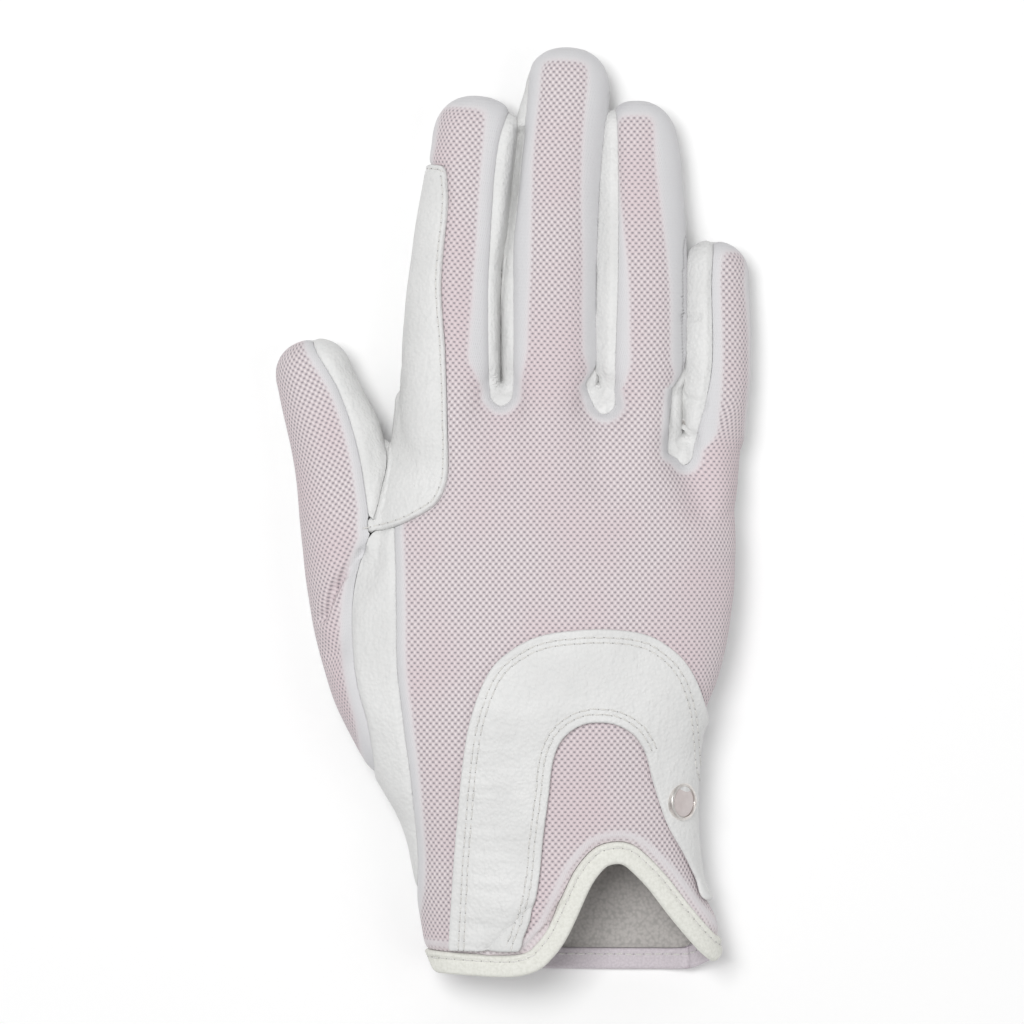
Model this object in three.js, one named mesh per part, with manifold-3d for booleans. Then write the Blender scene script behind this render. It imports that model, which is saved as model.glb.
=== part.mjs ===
// A right-hand riding glove, lying palm down: a mesh back, a leather palm that wraps round the thumb side,
// leather fourchettes between the fingers, a leather patch on the rein finger, a horseshoe-shaped wrist
// strap with a press stud, and a bound cuff whose back is cut up into a rounded notch.
// Millimetres, +Z up from the surface it lies on, +Y towards the fingertips, the thumb on the -X side.
import * as THREE from "three";
import { mergeVertices } from "three/addons/utils/BufferGeometryUtils.js";
import Module from "manifold-3d";

const wasm = await Module();
wasm.setup();

// Driving dimensions
const HAND_LENGTH = 142; // cuff edge to the web between the index and middle fingers
const HAND_WIDTH = 91; // across the widest part of the palm
const HAND_THICKNESS = 30; // palm to back at the thickest part
const WALL = 1.3; // leather, and mesh on its lining
const SEAM_GAP = 0.3; // clearance along each seam and under each applied piece
const SEAM_HEIGHT = 7; // height of the palm seam above the surface
const PATCH_RELIEF = 0.5; // how far the rein finger's patch stands above the mesh
const STRAP_THICKNESS = 1.4;
const STRAP_WRAP_HEIGHT = 9; // how low the strap's loose leg reaches round the side
const BINDING_WIDTH = 5.4;
const BINDING_RELIEF = 0.5; // how far the binding stands out of the wall, on each face
const STUD_DIAMETER = 9;
const STUD_HEIGHT = 1.5;
const STUD_RIM_WIDTH = 0.8;
const STUD_RECESS = 0.35; // the enamel face lies this far below the rim

// The digits: root places are shares of half the hand's width and of its length, the lean is from +Y towards +X.
const DIGITS = {
  index: { across: -0.51, along: 1.0, length: 71.2, width: 24, height: 18, lean: 5.7 },
  middle: { across: 0.015, along: 1.0, length: 82.9, width: 22.7, height: 18.5, lean: 3.4 },
  ring: { across: 0.5, along: 0.99, length: 71.1, width: 20.2, height: 18, lean: -0.3 },
  little: { across: 0.85, along: 0.885, length: 52, width: 15.4, height: 15.5, lean: 3.4 },
  thumb: { across: -0.605, along: 0.295, length: 115.7, width: 29.4, height: 20, lean: -15.5 },
};

// Sections up each digit: along is a share of its length, aside and width of its width, height and lift, which is
// how far the section stands off the table, of its height. The first ones lie inside the hand.
const DIGIT_SECTIONS = {
  index: [
    { along: -0.5, aside: 0.25, width: 0.6, height: 0.7, lift: 0.4 },
    { along: -0.2, aside: 0.06, width: 0.92, height: 1.18, lift: 0.16 },
    { along: 0.0, aside: 0.02, width: 0.95, height: 1.18, lift: 0.02 },
    { along: 0.3, aside: -0.01, width: 0.955, height: 1.03, lift: 0.07 },
    { along: 0.6, aside: 0.0, width: 0.905, height: 0.96, lift: 0.08 },
    { along: 0.82, aside: 0.01, width: 0.83, height: 0.9, lift: 0.04 },
  ],
  middle: [
    { along: -0.4, aside: 0.0, width: 0.7, height: 1.15, lift: 0.3 },
    { along: -0.15, aside: 0.0, width: 0.95, height: 1.3, lift: 0.1 },
    { along: 0.0, aside: 0.01, width: 0.97, height: 1.2, lift: 0.02 },
    { along: 0.3, aside: -0.03, width: 0.925, height: 1.03, lift: 0.08 },
    { along: 0.6, aside: -0.035, width: 0.865, height: 0.95, lift: 0.08 },
    { along: 0.87, aside: 0.015, width: 0.825, height: 0.86, lift: 0.04 },
  ],
  ring: [
    { along: -0.45, aside: -0.08, width: 0.7, height: 1.1, lift: 0.3 },
    { along: -0.18, aside: 0.0, width: 0.92, height: 1.28, lift: 0.1 },
    { along: 0.0, aside: 0.01, width: 0.945, height: 1.18, lift: 0.02 },
    { along: 0.3, aside: 0.0, width: 0.975, height: 1.02, lift: 0.08 },
    { along: 0.6, aside: 0.01, width: 0.91, height: 0.95, lift: 0.08 },
    { along: 0.86, aside: 0.0, width: 0.82, height: 0.86, lift: 0.04 },
  ],
  little: [
    { along: -0.6, aside: -0.25, width: 0.7, height: 0.75, lift: 0.42 },
    { along: -0.25, aside: -0.01, width: 0.98, height: 1.2, lift: 0.16 },
    { along: 0.0, aside: 0.03, width: 0.99, height: 1.15, lift: 0.04 },
    { along: 0.35, aside: 0.08, width: 0.96, height: 1.0, lift: 0.08 },
    { along: 0.6, aside: 0.05, width: 0.97, height: 0.96, lift: 0.07 },
    { along: 0.82, aside: 0.0, width: 0.92, height: 0.9, lift: 0.04 },
  ],
  thumb: [
    { along: -0.14, aside: 0.14, width: 0.35, height: 0.5, lift: 0.42 },
    { along: 0.0, aside: 0.03, width: 0.66, height: 0.95, lift: 0.2 },
    { along: 0.22, aside: -0.045, width: 0.95, height: 1.15, lift: 0.06 },
    { along: 0.42, aside: -0.05, width: 0.98, height: 1.05, lift: 0.05 },
    { along: 0.59, aside: -0.025, width: 0.85, height: 0.95, lift: 0.08 },
    { along: 0.745, aside: 0.04, width: 0.77, height: 0.88, lift: 0.08 },
    { along: 0.92, aside: 0.0, width: 0.6, height: 0.8, lift: 0.04 },
  ],
};
const DIGIT_DOME = 0.5; // a tip's rounding, as a share of the width there
const UNDERSIDE_SINK = 0.06; // the share of its height that a section's underside is flattened by

// Rows up the hand, from the cuff to the webs: left and right edges as shares of half the width, each at its own
// share of the length, how far the row runs ahead between its ends, and its share of the thickness.
const HAND_ROWS = [
  { leftAlong: -0.04, rightAlong: -0.04, left: -0.59, right: 0.945, ahead: 0, thick: 0.86 },
  { leftAlong: 0.03, rightAlong: 0.03, left: -0.62, right: 0.945, ahead: 0, thick: 0.88 },
  { leftAlong: 0.09, rightAlong: 0.09, left: -0.65, right: 0.925, ahead: 0, thick: 0.89 },
  { leftAlong: 0.15, rightAlong: 0.15, left: -0.69, right: 0.825, ahead: 0, thick: 0.9 },
  { leftAlong: 0.225, rightAlong: 0.225, left: -0.735, right: 0.775, ahead: 0, thick: 0.91 },
  { leftAlong: 0.3, rightAlong: 0.3, left: -0.82, right: 0.765, ahead: 0, thick: 0.94 },
  { leftAlong: 0.37, rightAlong: 0.37, left: -0.91, right: 0.79, ahead: 0, thick: 0.97 },
  { leftAlong: 0.44, rightAlong: 0.44, left: -0.975, right: 0.865, ahead: 0, thick: 1 },
  { leftAlong: 0.51, rightAlong: 0.51, left: -1.015, right: 0.938, ahead: 0, thick: 1 },
  { leftAlong: 0.58, rightAlong: 0.58, left: -1.035, right: 0.978, ahead: 0, thick: 0.99 },
  { leftAlong: 0.67, rightAlong: 0.65, left: -1.01, right: 1.0, ahead: 0, thick: 0.96 },
  { leftAlong: 0.77, rightAlong: 0.72, left: -0.93, right: 1.003, ahead: 0.005, thick: 0.93 },
  { leftAlong: 0.87, rightAlong: 0.79, left: -0.835, right: 1.0, ahead: 0.025, thick: 0.87 },
  { leftAlong: 0.95, rightAlong: 0.835, left: -0.785, right: 1.005, ahead: 0.05, thick: 0.77 },
  { leftAlong: 0.98, rightAlong: 0.855, left: -0.78, right: 1.0, ahead: 0.07, thick: 0.62 },
  { leftAlong: 0.99, rightAlong: 0.865, left: -0.77, right: 0.99, ahead: 0.077, thick: 0.4 },
];
// The line of the webs: how much of a row's run ahead it has at each share of the way across.
const WEB_LINE = [
  { share: 0.0, ahead: 0.0 },
  { share: 0.15, ahead: 0.3 },
  { share: 0.33, ahead: 0.7 },
  { share: 0.6, ahead: 1.0 },
  { share: 0.72, ahead: 0.8 },
  { share: 0.84, ahead: 0.13 },
  { share: 1.0, ahead: 0.0 },
];
const TIP_LIFT = 0.2; // the last row is lifted by this share of its thickness, to close the form

// Hollows in the back between the knuckles and at the thumb's fold, as straight grooves from one end to the other.
// Places are hand shares, depth is a share of the thickness and reach a share of half the width.
const HOLLOWS = [
  { fromAcross: -0.24, fromAlong: 0.99, toAcross: -0.2, toAlong: 0.86, depth: 0.06, reach: 0.12 },
  { fromAcross: 0.3, fromAlong: 0.98, toAcross: 0.3, toAlong: 0.85, depth: 0.06, reach: 0.12 },
  { fromAcross: 0.72, fromAlong: 0.9, toAcross: 0.84, toAlong: 0.8, depth: 0.07, reach: 0.1 },
  { fromAcross: -0.98, fromAlong: 0.7, toAcross: -1.12, toAlong: 0.55, depth: 0.08, reach: 0.08 },
];

// Where the fingers' side panels are sewn, from each finger's root to past its tip. Along is a share of the
// finger's length and aside a share of half its local width.
const FINGER_SEAMS = {
  indexRight: [
    { along: 0.02, aside: 0.76 },
    { along: 0.3, aside: 0.67 },
    { along: 0.62, aside: 0.58 },
    { along: 0.84, aside: 0.6 },
    { along: 1.0, aside: 0.85 },
  ],
  middleLeft: [
    { along: 0.02, aside: -0.8 },
    { along: 0.45, aside: -0.84 },
    { along: 0.84, aside: -0.84 },
    { along: 1.0, aside: -1.0 },
  ],
  middleRight: [
    { along: 0.02, aside: 0.82 },
    { along: 0.45, aside: 0.82 },
    { along: 0.84, aside: 0.82 },
    { along: 1.0, aside: 1.15 },
  ],
  ringLeft: [
    { along: 0.04, aside: -0.6 },
    { along: 0.45, aside: -0.55 },
    { along: 0.82, aside: -0.6 },
    { along: 1.03, aside: -0.7 },
  ],
  ringRight: [
    { along: -0.2, aside: 0.8 },
    { along: -0.08, aside: 0.7 },
    { along: 0.45, aside: 0.7 },
    { along: 0.82, aside: 0.7 },
    { along: 1.0, aside: 0.85 },
  ],
  littleLeft: [
    { along: 0.05, aside: -0.5 },
    { along: 0.25, aside: -0.25 },
    { along: 0.45, aside: -0.1 },
    { along: 0.8, aside: -0.12 },
    { along: 1.04, aside: -0.12 },
  ],
};
// Each side panel's turn round the web, at the middle of its lowest point, in hand shares.
const FOURCHETTES = [
  { name: "fourchette_index_middle", left: "index", right: "middle", across: -0.235, along: 0.972, width: 0.13 },
  { name: "fourchette_middle_ring", left: "middle", right: "ring", across: 0.316, along: 0.962, width: 0.13 },
  { name: "fourchette_ring_little", left: "ring", right: "little", across: 0.745, along: 0.87, width: 0.07 },
];

const WEB_ROUNDING = 0.05; // how far the turn's ends rise, by the square of their share of its width

// The thumb's seam on the back, from its tip down to where four panels meet. All in hand shares.
const MEETING_PLACE = { across: -0.925, along: 0.755 };
const THUMB_SEAM = [
  { across: -1.24, along: 1.14 },
  { across: -1.235, along: 1.078 },
  { across: -1.09, along: 0.995 },
  { across: -0.995, along: 0.9 },
  { across: -0.95, along: 0.82 },
  MEETING_PLACE,
];
// The fold between the thumb and the hand, from the same place up through the gap beside the thumb.
const THUMB_FOLD = [
  MEETING_PLACE,
  { across: -0.87, along: 0.82 },
  { across: -0.84, along: 0.885 },
  { across: -0.86, along: 0.95 },
  { across: -0.9, along: 1.14 },
];
// The palm leather that wraps onto the back below the thumb: its left edge downwards, then its right edge.
const WRAP_LEFT_EDGE = [
  MEETING_PLACE,
  { across: -0.985, along: 0.7 },
  { across: -1.025, along: 0.64 },
  { across: -1.035, along: 0.57 },
  { across: -1.0, along: 0.49 },
  { across: -0.945, along: 0.42 },
  { across: -0.925, along: 0.35 },
  { across: -0.96, along: 0.315 },
];
const WRAP_RIGHT_EDGE = [
  { across: -0.77, along: -0.02 },
  { across: -0.73, along: 0.08 },
  { across: -0.695, along: 0.16 },
  { across: -0.695, along: 0.23 },
  { across: -0.715, along: 0.32 },
  { across: -0.755, along: 0.43 },
  { across: -0.79, along: 0.53 },
  { across: -0.795, along: 0.65 },
  { across: -0.81, along: 0.79 },
];
// The seam round the thumb's root on the palm side.
const THUMB_HOLE = [
  { across: -0.86, along: 0.93 },
  { across: -0.74, along: 0.8 },
  { across: -0.6, along: 0.68 },
  { across: -0.56, along: 0.54 },
  { across: -0.64, along: 0.42 },
  { across: -0.8, along: 0.335 },
  { across: -1.0, along: 0.29 },
];

// The rein finger's patch: its edge on the finger in digit shares, then its edge on the hand.
const PATCH_FINGER_EDGE = [
  { along: 0.755, aside: -1.4 },
  { along: 0.757, aside: -0.72 },
  { along: 0.72, aside: -0.56 },
  { along: 0.6, aside: -0.43 },
  { along: 0.36, aside: -0.38 },
  { along: 0.13, aside: -0.17 },
];
const PATCH_HAND_EDGE = [
  { across: -0.52, along: 0.97 },
  { across: -0.515, along: 0.87 },
  { across: -0.535, along: 0.83 },
  { across: -0.585, along: 0.802 },
  { across: -0.68, along: 0.782 },
  { across: -0.8, along: 0.765 },
  MEETING_PLACE,
];
// A place clear of the finger's outer side, through which the patch's outline closes.
const PATCH_OUTSIDE = { along: 0.3, aside: -1.8 };

// The wrist strap's edges, as hand shares, from the cuff up the sewn leg, over and down the loose leg.
const STRAP_OUTER_EDGE = [
  { across: -0.503, along: 0.045 },
  { across: -0.482, along: 0.175 },
  { across: -0.466, along: 0.25 },
  { across: -0.434, along: 0.367 },
  { across: -0.39, along: 0.445 },
  { across: -0.3, along: 0.518 },
  { across: -0.177, along: 0.557 },
  { across: -0.02, along: 0.581 },
  { across: 0.187, along: 0.59 },
  { across: 0.375, along: 0.59 },
  { across: 0.535, along: 0.581 },
  { across: 0.65, along: 0.56 },
  { across: 0.744, along: 0.533 },
  { across: 0.82, along: 0.495 },
  { across: 0.87, along: 0.44 },
  { across: 1.05, along: 0.41 },
];
const STRAP_INNER_EDGE = [
  { across: 1.05, along: 0.12 },
  { across: 0.84, along: 0.125 },
  { across: 0.781, along: 0.166 },
  { across: 0.717, along: 0.209 },
  { across: 0.632, along: 0.261 },
  { across: 0.562, along: 0.329 },
  { across: 0.519, along: 0.381 },
  { across: 0.46, along: 0.412 },
  { across: 0.375, along: 0.429 },
  { across: 0.29, along: 0.434 },
  { across: 0.2, along: 0.431 },
  { across: 0.125, along: 0.418 },
  { across: 0.072, along: 0.398 },
  { across: 0.037, along: 0.365 },
  { across: 0.018, along: 0.312 },
  { across: -0.011, along: 0.24 },
  { across: -0.037, along: 0.158 },
  { across: -0.08, along: 0.1 },
  { across: -0.1445, along: 0.045 },
];
const STUD_PLACE = { across: 0.722, along: 0.297, up: 0.72, tilt: 46 }; // tilt in degrees, up as a share of the thickness

// The cuff's free edge on the palm side, then the middle of the binding on its back, round the notch.
const CUFF_EDGE = [
  { across: -0.8, along: 0.06 },
  { across: -0.64, along: 0.03 },
  { across: -0.585, along: 0.005 },
  { across: -0.45, along: 0.001 },
  { across: 0.0, along: 0.0 },
  { across: 0.5, along: -0.001 },
  { across: 0.76, along: 0.001 },
  { across: 0.866, along: 0.013 },
  { across: 0.941, along: 0.03 },
  { across: 1.05, along: 0.055 },
];
const NOTCH_LINE = [
  { across: -0.85, along: 0.022 },
  { across: -0.6, along: 0.0225 },
  { across: -0.38, along: 0.0205 },
  { across: -0.19, along: 0.0195 },
  { across: -0.07, along: 0.029 },
  { across: 0.0, along: 0.049 },
  { across: 0.055, along: 0.073 },
  { across: 0.107, along: 0.106 },
  { across: 0.155, along: 0.1405 },
  { across: 0.209, along: 0.1745 },
  { across: 0.29, along: 0.204 },
  { across: 0.375, along: 0.212 },
  { across: 0.444, along: 0.2075 },
  { across: 0.514, along: 0.189 },
  { across: 0.605, along: 0.158 },
  { across: 0.701, along: 0.118 },
  { across: 0.797, along: 0.0806 },
  { across: 0.894, along: 0.048 },
  { across: 0.99, along: 0.03 },
  { across: 1.1, along: 0.02 },
];

// How finely the forms are drawn
const DIGIT_SIDES = 14;
const HAND_SIDES = 26;
const DIGIT_STEPS = 5;
const DOME_STEPS = 3;
const STUD_SIDES = 20;
const SQUARENESS = 2.25; // exponent of the rounded sections, where 2 is an ellipse
const REACH = 400; // longer and taller than the glove, for cutting solids

const handPoint = ({ across, along }) =>
  new THREE.Vector2((across * HAND_WIDTH) / 2, along * HAND_LENGTH);

// The value of one column of a table at a given share, on a smooth curve through its rows.
function column(rows, key, share, by = "along") {
  const last = rows.length - 1;
  const k = rows.findIndex((row) => row[by] > share);
  if (k === 0) return rows[0][key];
  if (k < 0) return rows[last][key];
  const [a, b] = [rows[k - 1], rows[k]];
  const span = b[by] - a[by];
  const slope = (i) => {
    const [p, q] = [rows[Math.max(i - 1, 0)], rows[Math.min(i + 1, last)]];
    return (q[key] - p[key]) / (q[by] - p[by]);
  };
  const t = (share - a[by]) / span;
  const h = t * t * (3 - 2 * t);
  return (
    a[key] * (1 - h) +
    b[key] * h +
    span * t * (1 - t) * ((1 - t) * slope(k - 1) - t * slope(k))
  );
}

// A closed solid from equal rings of points, each ring one section of the form.
function solidFromRings(rings) {
  const sides = rings[0].length;
  const centre = (ring) =>
    ring.reduce((sum, p) => sum.add(p), new THREE.Vector3()).divideScalar(sides);
  const points = [...rings.flat(), centre(rings[0]), centre(rings[rings.length - 1])];
  const [startCentre, endCentre] = [points.length - 2, points.length - 1];
  const endRing = (rings.length - 1) * sides;
  const faces = [];
  for (let j = 0; j < sides; j++) {
    const next = (j + 1) % sides;
    for (let i = 0; i + 1 < rings.length; i++) {
      const [a, b] = [i * sides, (i + 1) * sides];
      faces.push(a + j, a + next, b + next, a + j, b + next, b + j);
    }
    faces.push(startCentre, next, j);
    faces.push(endCentre, endRing + j, endRing + next);
  }
  const geometry = new THREE.BufferGeometry().setFromPoints(points).setIndex(faces);
  return solidFromGeometry(geometry);
}

function solidFromGeometry(geometry) {
  const bare = geometry.index ? geometry.toNonIndexed() : geometry.clone();
  bare.deleteAttribute("normal");
  bare.deleteAttribute("uv");
  const merged = mergeVertices(bare, 1e-4);
  const mesh = (indices) =>
    new wasm.Mesh({
      numProp: 3,
      vertProperties: new Float32Array(merged.attributes.position.array),
      triVerts: new Uint32Array(indices),
    });
  const indices = Array.from(merged.index.array);
  const solid = new wasm.Manifold(mesh(indices));
  return solid.volume() > 0 ? solid : new wasm.Manifold(mesh(indices.reverse()));
}

const joined = (solids) => solids.reduce((sum, solid) => sum.add(solid));

// The sine or cosine of a rounded section's angle, drawn out towards a square's.
const squared = (value) => Math.sign(value) * Math.abs(value) ** (2 / SQUARENESS);

// A point of a rounded section, from its angle, its half width and its lowest and highest levels.
function sectionPoint(angle, halfWidth, low, high) {
  return {
    aside: squared(Math.cos(angle)) * halfWidth,
    z: (low + high) / 2 + (squared(Math.sin(angle)) * (high - low)) / 2,
  };
}

// How deep the hollows in the back are at a place.
function hollowDepth(x, y) {
  return HOLLOWS.reduce((deepest, hollow) => {
    const from = handPoint({ across: hollow.fromAcross, along: hollow.fromAlong });
    const to = handPoint({ across: hollow.toAcross, along: hollow.toAlong });
    const line = new THREE.Line3(
      new THREE.Vector3(from.x, from.y, 0),
      new THREE.Vector3(to.x, to.y, 0),
    );
    const here = new THREE.Vector3(x, y, 0);
    const away = line.closestPointToPoint(here, true, new THREE.Vector3()).distanceTo(here);
    const reach = (hollow.reach * HAND_WIDTH) / 2;
    return deepest + hollow.depth * HAND_THICKNESS * Math.exp(-((away / reach) ** 2));
  }, 0);
}

// The surface keeps clear of the table, and a hollow lowers only the upper half.
function placed(x, y, z, middle, grow) {
  const upper = Math.max(0, z - middle) / Math.max(middle, WALL);
  const lowered = z - hollowDepth(x, y) * Math.min(1, upper);
  return new THREE.Vector3(x, y, Math.max(lowered, Math.max(0, -grow)));
}

// A place in a digit's own shares, as a point on the table.
function digitPoint(name, along, aside) {
  const digit = DIGITS[name];
  const root = handPoint(digit);
  const lean = THREE.MathUtils.degToRad(digit.lean);
  const forward = new THREE.Vector2(Math.sin(lean), Math.cos(lean));
  const right = new THREE.Vector2(forward.y, -forward.x);
  const rows = DIGIT_SECTIONS[name];
  const width = column(rows, "width", along) * digit.width;
  const drift = column(rows, "aside", along) * digit.width;
  return root
    .addScaledVector(forward, along * digit.length)
    .addScaledVector(right, drift + (aside * width) / 2);
}

// One digit as a solid, grown or shrunk all over.
function digitForm(name, grow) {
  const digit = DIGITS[name];
  const rows = DIGIT_SECTIONS[name];
  const start = rows[0].along;
  const domeLength = DIGIT_DOME * column(rows, "width", 1) * digit.width;
  const shoulder = 1 - domeLength / digit.length;
  const stations = [];
  for (let i = 0; i <= DIGIT_STEPS; i++)
    stations.push({ along: start + ((shoulder - start) * i) / DIGIT_STEPS, round: 1 });
  for (let i = 1; i <= DOME_STEPS; i++) {
    const turn = (i / (DOME_STEPS + 0.35)) * (Math.PI / 2);
    const reach = (domeLength + grow) / digit.length;
    stations.push({ along: shoulder + reach * squared(Math.sin(turn)), round: squared(Math.cos(turn)) });
  }
  const rings = stations.map(({ along, round }) => {
    const centre = digitPoint(name, along, 0);
    const edge = digitPoint(name, along, 1).sub(centre);
    const right = edge.clone().normalize();
    const halfWidth = (edge.length() + grow) * round;
    const height = column(rows, "height", along) * digit.height;
    const lift = column(rows, "lift", along) * digit.height;
    const [low, high] = [lift - UNDERSIDE_SINK * height - grow, lift + height + grow];
    const middle = (low + high) / 2;
    return Array.from({ length: DIGIT_SIDES }, (_, j) => {
      const angle = (j / DIGIT_SIDES) * 2 * Math.PI;
      const squeeze = (high - low) * (1 - round) * 0.5;
      const point = sectionPoint(angle, halfWidth, low + squeeze, high - squeeze);
      const [x, y] = [centre.x + right.x * point.aside, centre.y + right.y * point.aside];
      return placed(x, y, point.z, middle, grow);
    });
  });
  return solidFromRings(rings);
}

// One row of the hand as a ring of points, grown or shrunk all over.
function handRing(row, grow) {
  const left = handPoint({ across: row.left, along: row.leftAlong });
  const right = handPoint({ across: row.right, along: row.rightAlong });
  const centre = left.clone().add(right).divideScalar(2);
  const halfWidth = left.distanceTo(right) / 2 + grow;
  const direction = right.clone().sub(left).normalize();
  const thickness = row.thick * HAND_THICKNESS;
  const sink = UNDERSIDE_SINK * thickness;
  const lift = row === HAND_ROWS.at(-1) ? TIP_LIFT * thickness : 0;
  const [low, high] = [lift - sink - grow, lift + thickness + grow];
  return Array.from({ length: HAND_SIDES }, (_, j) => {
    const angle = (j / HAND_SIDES) * 2 * Math.PI;
    const point = sectionPoint(angle, halfWidth, low, high);
    const share = (point.aside / halfWidth + 1) / 2;
    const ahead = column(WEB_LINE, "ahead", share, "share") * row.ahead * HAND_LENGTH;
    const x = centre.x + direction.x * point.aside;
    const y = centre.y + direction.y * point.aside + ahead;
    return placed(x, y, point.z, (low + high) / 2, grow);
  });
}

// The whole glove as one filled form, grown or shrunk all over.
function gloveForm(grow) {
  const hand = solidFromRings(HAND_ROWS.map((row) => handRing(row, grow)));
  return joined([hand, ...Object.keys(DIGITS).map((name) => digitForm(name, grow))]);
}

// An outline on the table, extruded between two heights.
function prism(outline, low, high) {
  const geometry = new THREE.ExtrudeGeometry(new THREE.Shape(outline), {
    depth: high - low,
    bevelEnabled: false,
  });
  return solidFromGeometry(geometry.translate(0, 0, low));
}

// The narrow cuts that keep two panels apart along a seam, one box for each stretch, reaching the gap's width to
// each side of it.
function seamCut(points, low, high) {
  const boxes = points.slice(1).map((end, i) => {
    const start = points[i];
    const length = start.distanceTo(end) + 2 * SEAM_GAP;
    const box = new THREE.BoxGeometry(length, 2 * SEAM_GAP, high - low);
    box.rotateZ(end.clone().sub(start).angle());
    box.translate((start.x + end.x) / 2, (start.y + end.y) / 2, (low + high) / 2);
    return solidFromGeometry(box);
  });
  return joined(boxes);
}

// A smooth line through a table's places, with a few points for each stretch.
function smooth(points, stepsPerStretch) {
  const curve = new THREE.SplineCurve(points);
  return curve.getPoints((points.length - 1) * stepsPerStretch);
}

// The outline of a band of even width about a line.
function bandOutline(line, width) {
  const offset = (side) =>
    line.map((point, i) => {
      const before = line[Math.max(i - 1, 0)];
      const after = line[Math.min(i + 1, line.length - 1)];
      const forward = after.clone().sub(before).normalize();
      const normal = new THREE.Vector2(-forward.y, forward.x);
      return point.clone().addScaledVector(normal, (side * width) / 2);
    });
  return [...offset(1), ...offset(-1).reverse()];
}

const shell = gloveForm(0).subtract(gloveForm(-WALL));

const corner = (x, y) => new THREE.Vector2(x, y);
const rectangle = (x0, y0, x1, y1) => [corner(x0, y0), corner(x1, y0), corner(x1, y1), corner(x0, y1)];

// The cuff's free edge, and what lies beyond it
const cuffEdge = CUFF_EDGE.map(handPoint);
const pastCuff = prism([...cuffEdge, corner(REACH, -REACH), corner(-REACH, -REACH)], -1, REACH);

// Cuts one panel out of what is left of the shell, with a clearance round it. A panel is given as blocks, each a
// plan outline between two heights.
let rest = shell.subtract(pastCuff);
function takePanel(blocks, from = rest) {
  const panel = from.intersect(joined(blocks.map(({ outline, low, high }) => prism(outline, low, high))));
  const clearance = blocks.flatMap(({ outline, low, high }) => [
    prism(outline, low - SEAM_GAP, high + SEAM_GAP),
    seamCut([...outline, outline[0]], low - SEAM_GAP, high + SEAM_GAP),
  ]);
  rest = rest.subtract(joined(clearance));
  return panel;
}

// The binding's band round the back of the cuff and its notch, then the hem on the palm side
const notchLine = smooth(NOTCH_LINE.map(handPoint), 1);
const belowNotch = [...notchLine, corner(REACH, -REACH), corner(-REACH, -REACH)];
const cuffShell = gloveForm(BINDING_RELIEF)
  .subtract(gloveForm(-WALL - BINDING_RELIEF))
  .subtract(pastCuff);
const binding = takePanel(
  [{ outline: bandOutline(notchLine, BINDING_WIDTH), low: SEAM_HEIGHT, high: REACH }],
  cuffShell,
);
rest = rest.subtract(prism(belowNotch, SEAM_HEIGHT, REACH));
const hem = takePanel(
  [{ outline: bandOutline(cuffEdge, 2 * BINDING_WIDTH), low: -1, high: SEAM_HEIGHT - SEAM_GAP }],
  cuffShell,
);

// The thumb
const thumbSeam = THUMB_SEAM.map(handPoint);
const thumbFold = THUMB_FOLD.map(handPoint);
const thumbHole = THUMB_HOLE.map(handPoint);
const wrapLeft = WRAP_LEFT_EDGE.map(handPoint);
const wrapRight = WRAP_RIGHT_EDGE.map(handPoint);
const thumbBack = takePanel([
  {
    outline: [
      corner(-REACH, thumbSeam[0].y),
      ...thumbSeam,
      ...wrapLeft.slice(1),
      corner(-REACH, wrapLeft.at(-1).y),
    ],
    low: SEAM_HEIGHT,
    high: REACH,
  },
]);
const thumbFront = takePanel([
  { outline: [...thumbSeam, ...thumbFold.slice(1)], low: SEAM_HEIGHT - 1, high: REACH },
  {
    outline: [
      corner(-REACH, HAND_LENGTH * 1.2),
      corner(thumbHole[0].x, HAND_LENGTH * 1.2),
      ...thumbHole,
      corner(-REACH, thumbHole.at(-1).y),
    ],
    low: -1,
    high: SEAM_HEIGHT - SEAM_GAP,
  },
]);

// The rein finger's patch stands out of the mesh
const patchOutline = [
  ...PATCH_FINGER_EDGE.map((row) => digitPoint("index", row.along, row.aside)),
  ...PATCH_HAND_EDGE.map(handPoint),
  ...thumbFold.slice(1, -1),
  digitPoint("index", PATCH_OUTSIDE.along, PATCH_OUTSIDE.aside),
];
const patchShell = gloveForm(PATCH_RELIEF).subtract(gloveForm(-WALL));
const patch = takePanel([{ outline: patchOutline, low: SEAM_HEIGHT, high: REACH }], patchShell);

// The fourchettes: each runs down one finger's side, round the web and up the next finger's side
const fourchettes = FOURCHETTES.map(({ left, right, across, along: low, width }) => {
  const seam = (name, rows) => rows.map((row) => digitPoint(name, row.along, row.aside));
  const web = [-0.5, -0.25, 0.25, 0.5].map((share) =>
    handPoint({ across: across + share * width, along: low + share * share * WEB_ROUNDING }),
  );
  const outline = [
    ...seam(left, FINGER_SEAMS[`${left}Right`]).reverse(),
    ...web,
    ...seam(right, FINGER_SEAMS[`${right}Left`]),
  ];
  return takePanel([{ outline, low: SEAM_HEIGHT, high: REACH }]);
});

// The palm takes all that is left below its seam, and the leather that wraps round onto the back
const palm = takePanel([
  { outline: rectangle(-REACH, 0, REACH, REACH), low: -1, high: SEAM_HEIGHT - SEAM_GAP },
  {
    outline: [
      ...wrapLeft,
      corner(-HAND_WIDTH, wrapLeft.at(-1).y),
      corner(-HAND_WIDTH, wrapRight[0].y),
      ...wrapRight,
    ],
    low: SEAM_HEIGHT - 1,
    high: REACH,
  },
]);

// The wrist strap lies on the back, and its loose leg reaches round the side
const strapSolid = gloveForm(SEAM_GAP + STRAP_THICKNESS).subtract(gloveForm(SEAM_GAP));
const strapOutline = [...STRAP_OUTER_EDGE, ...STRAP_INNER_EDGE].map(handPoint);
const strap = strapSolid.intersect(prism(strapOutline, STRAP_WRAP_HEIGHT, REACH));

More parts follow.
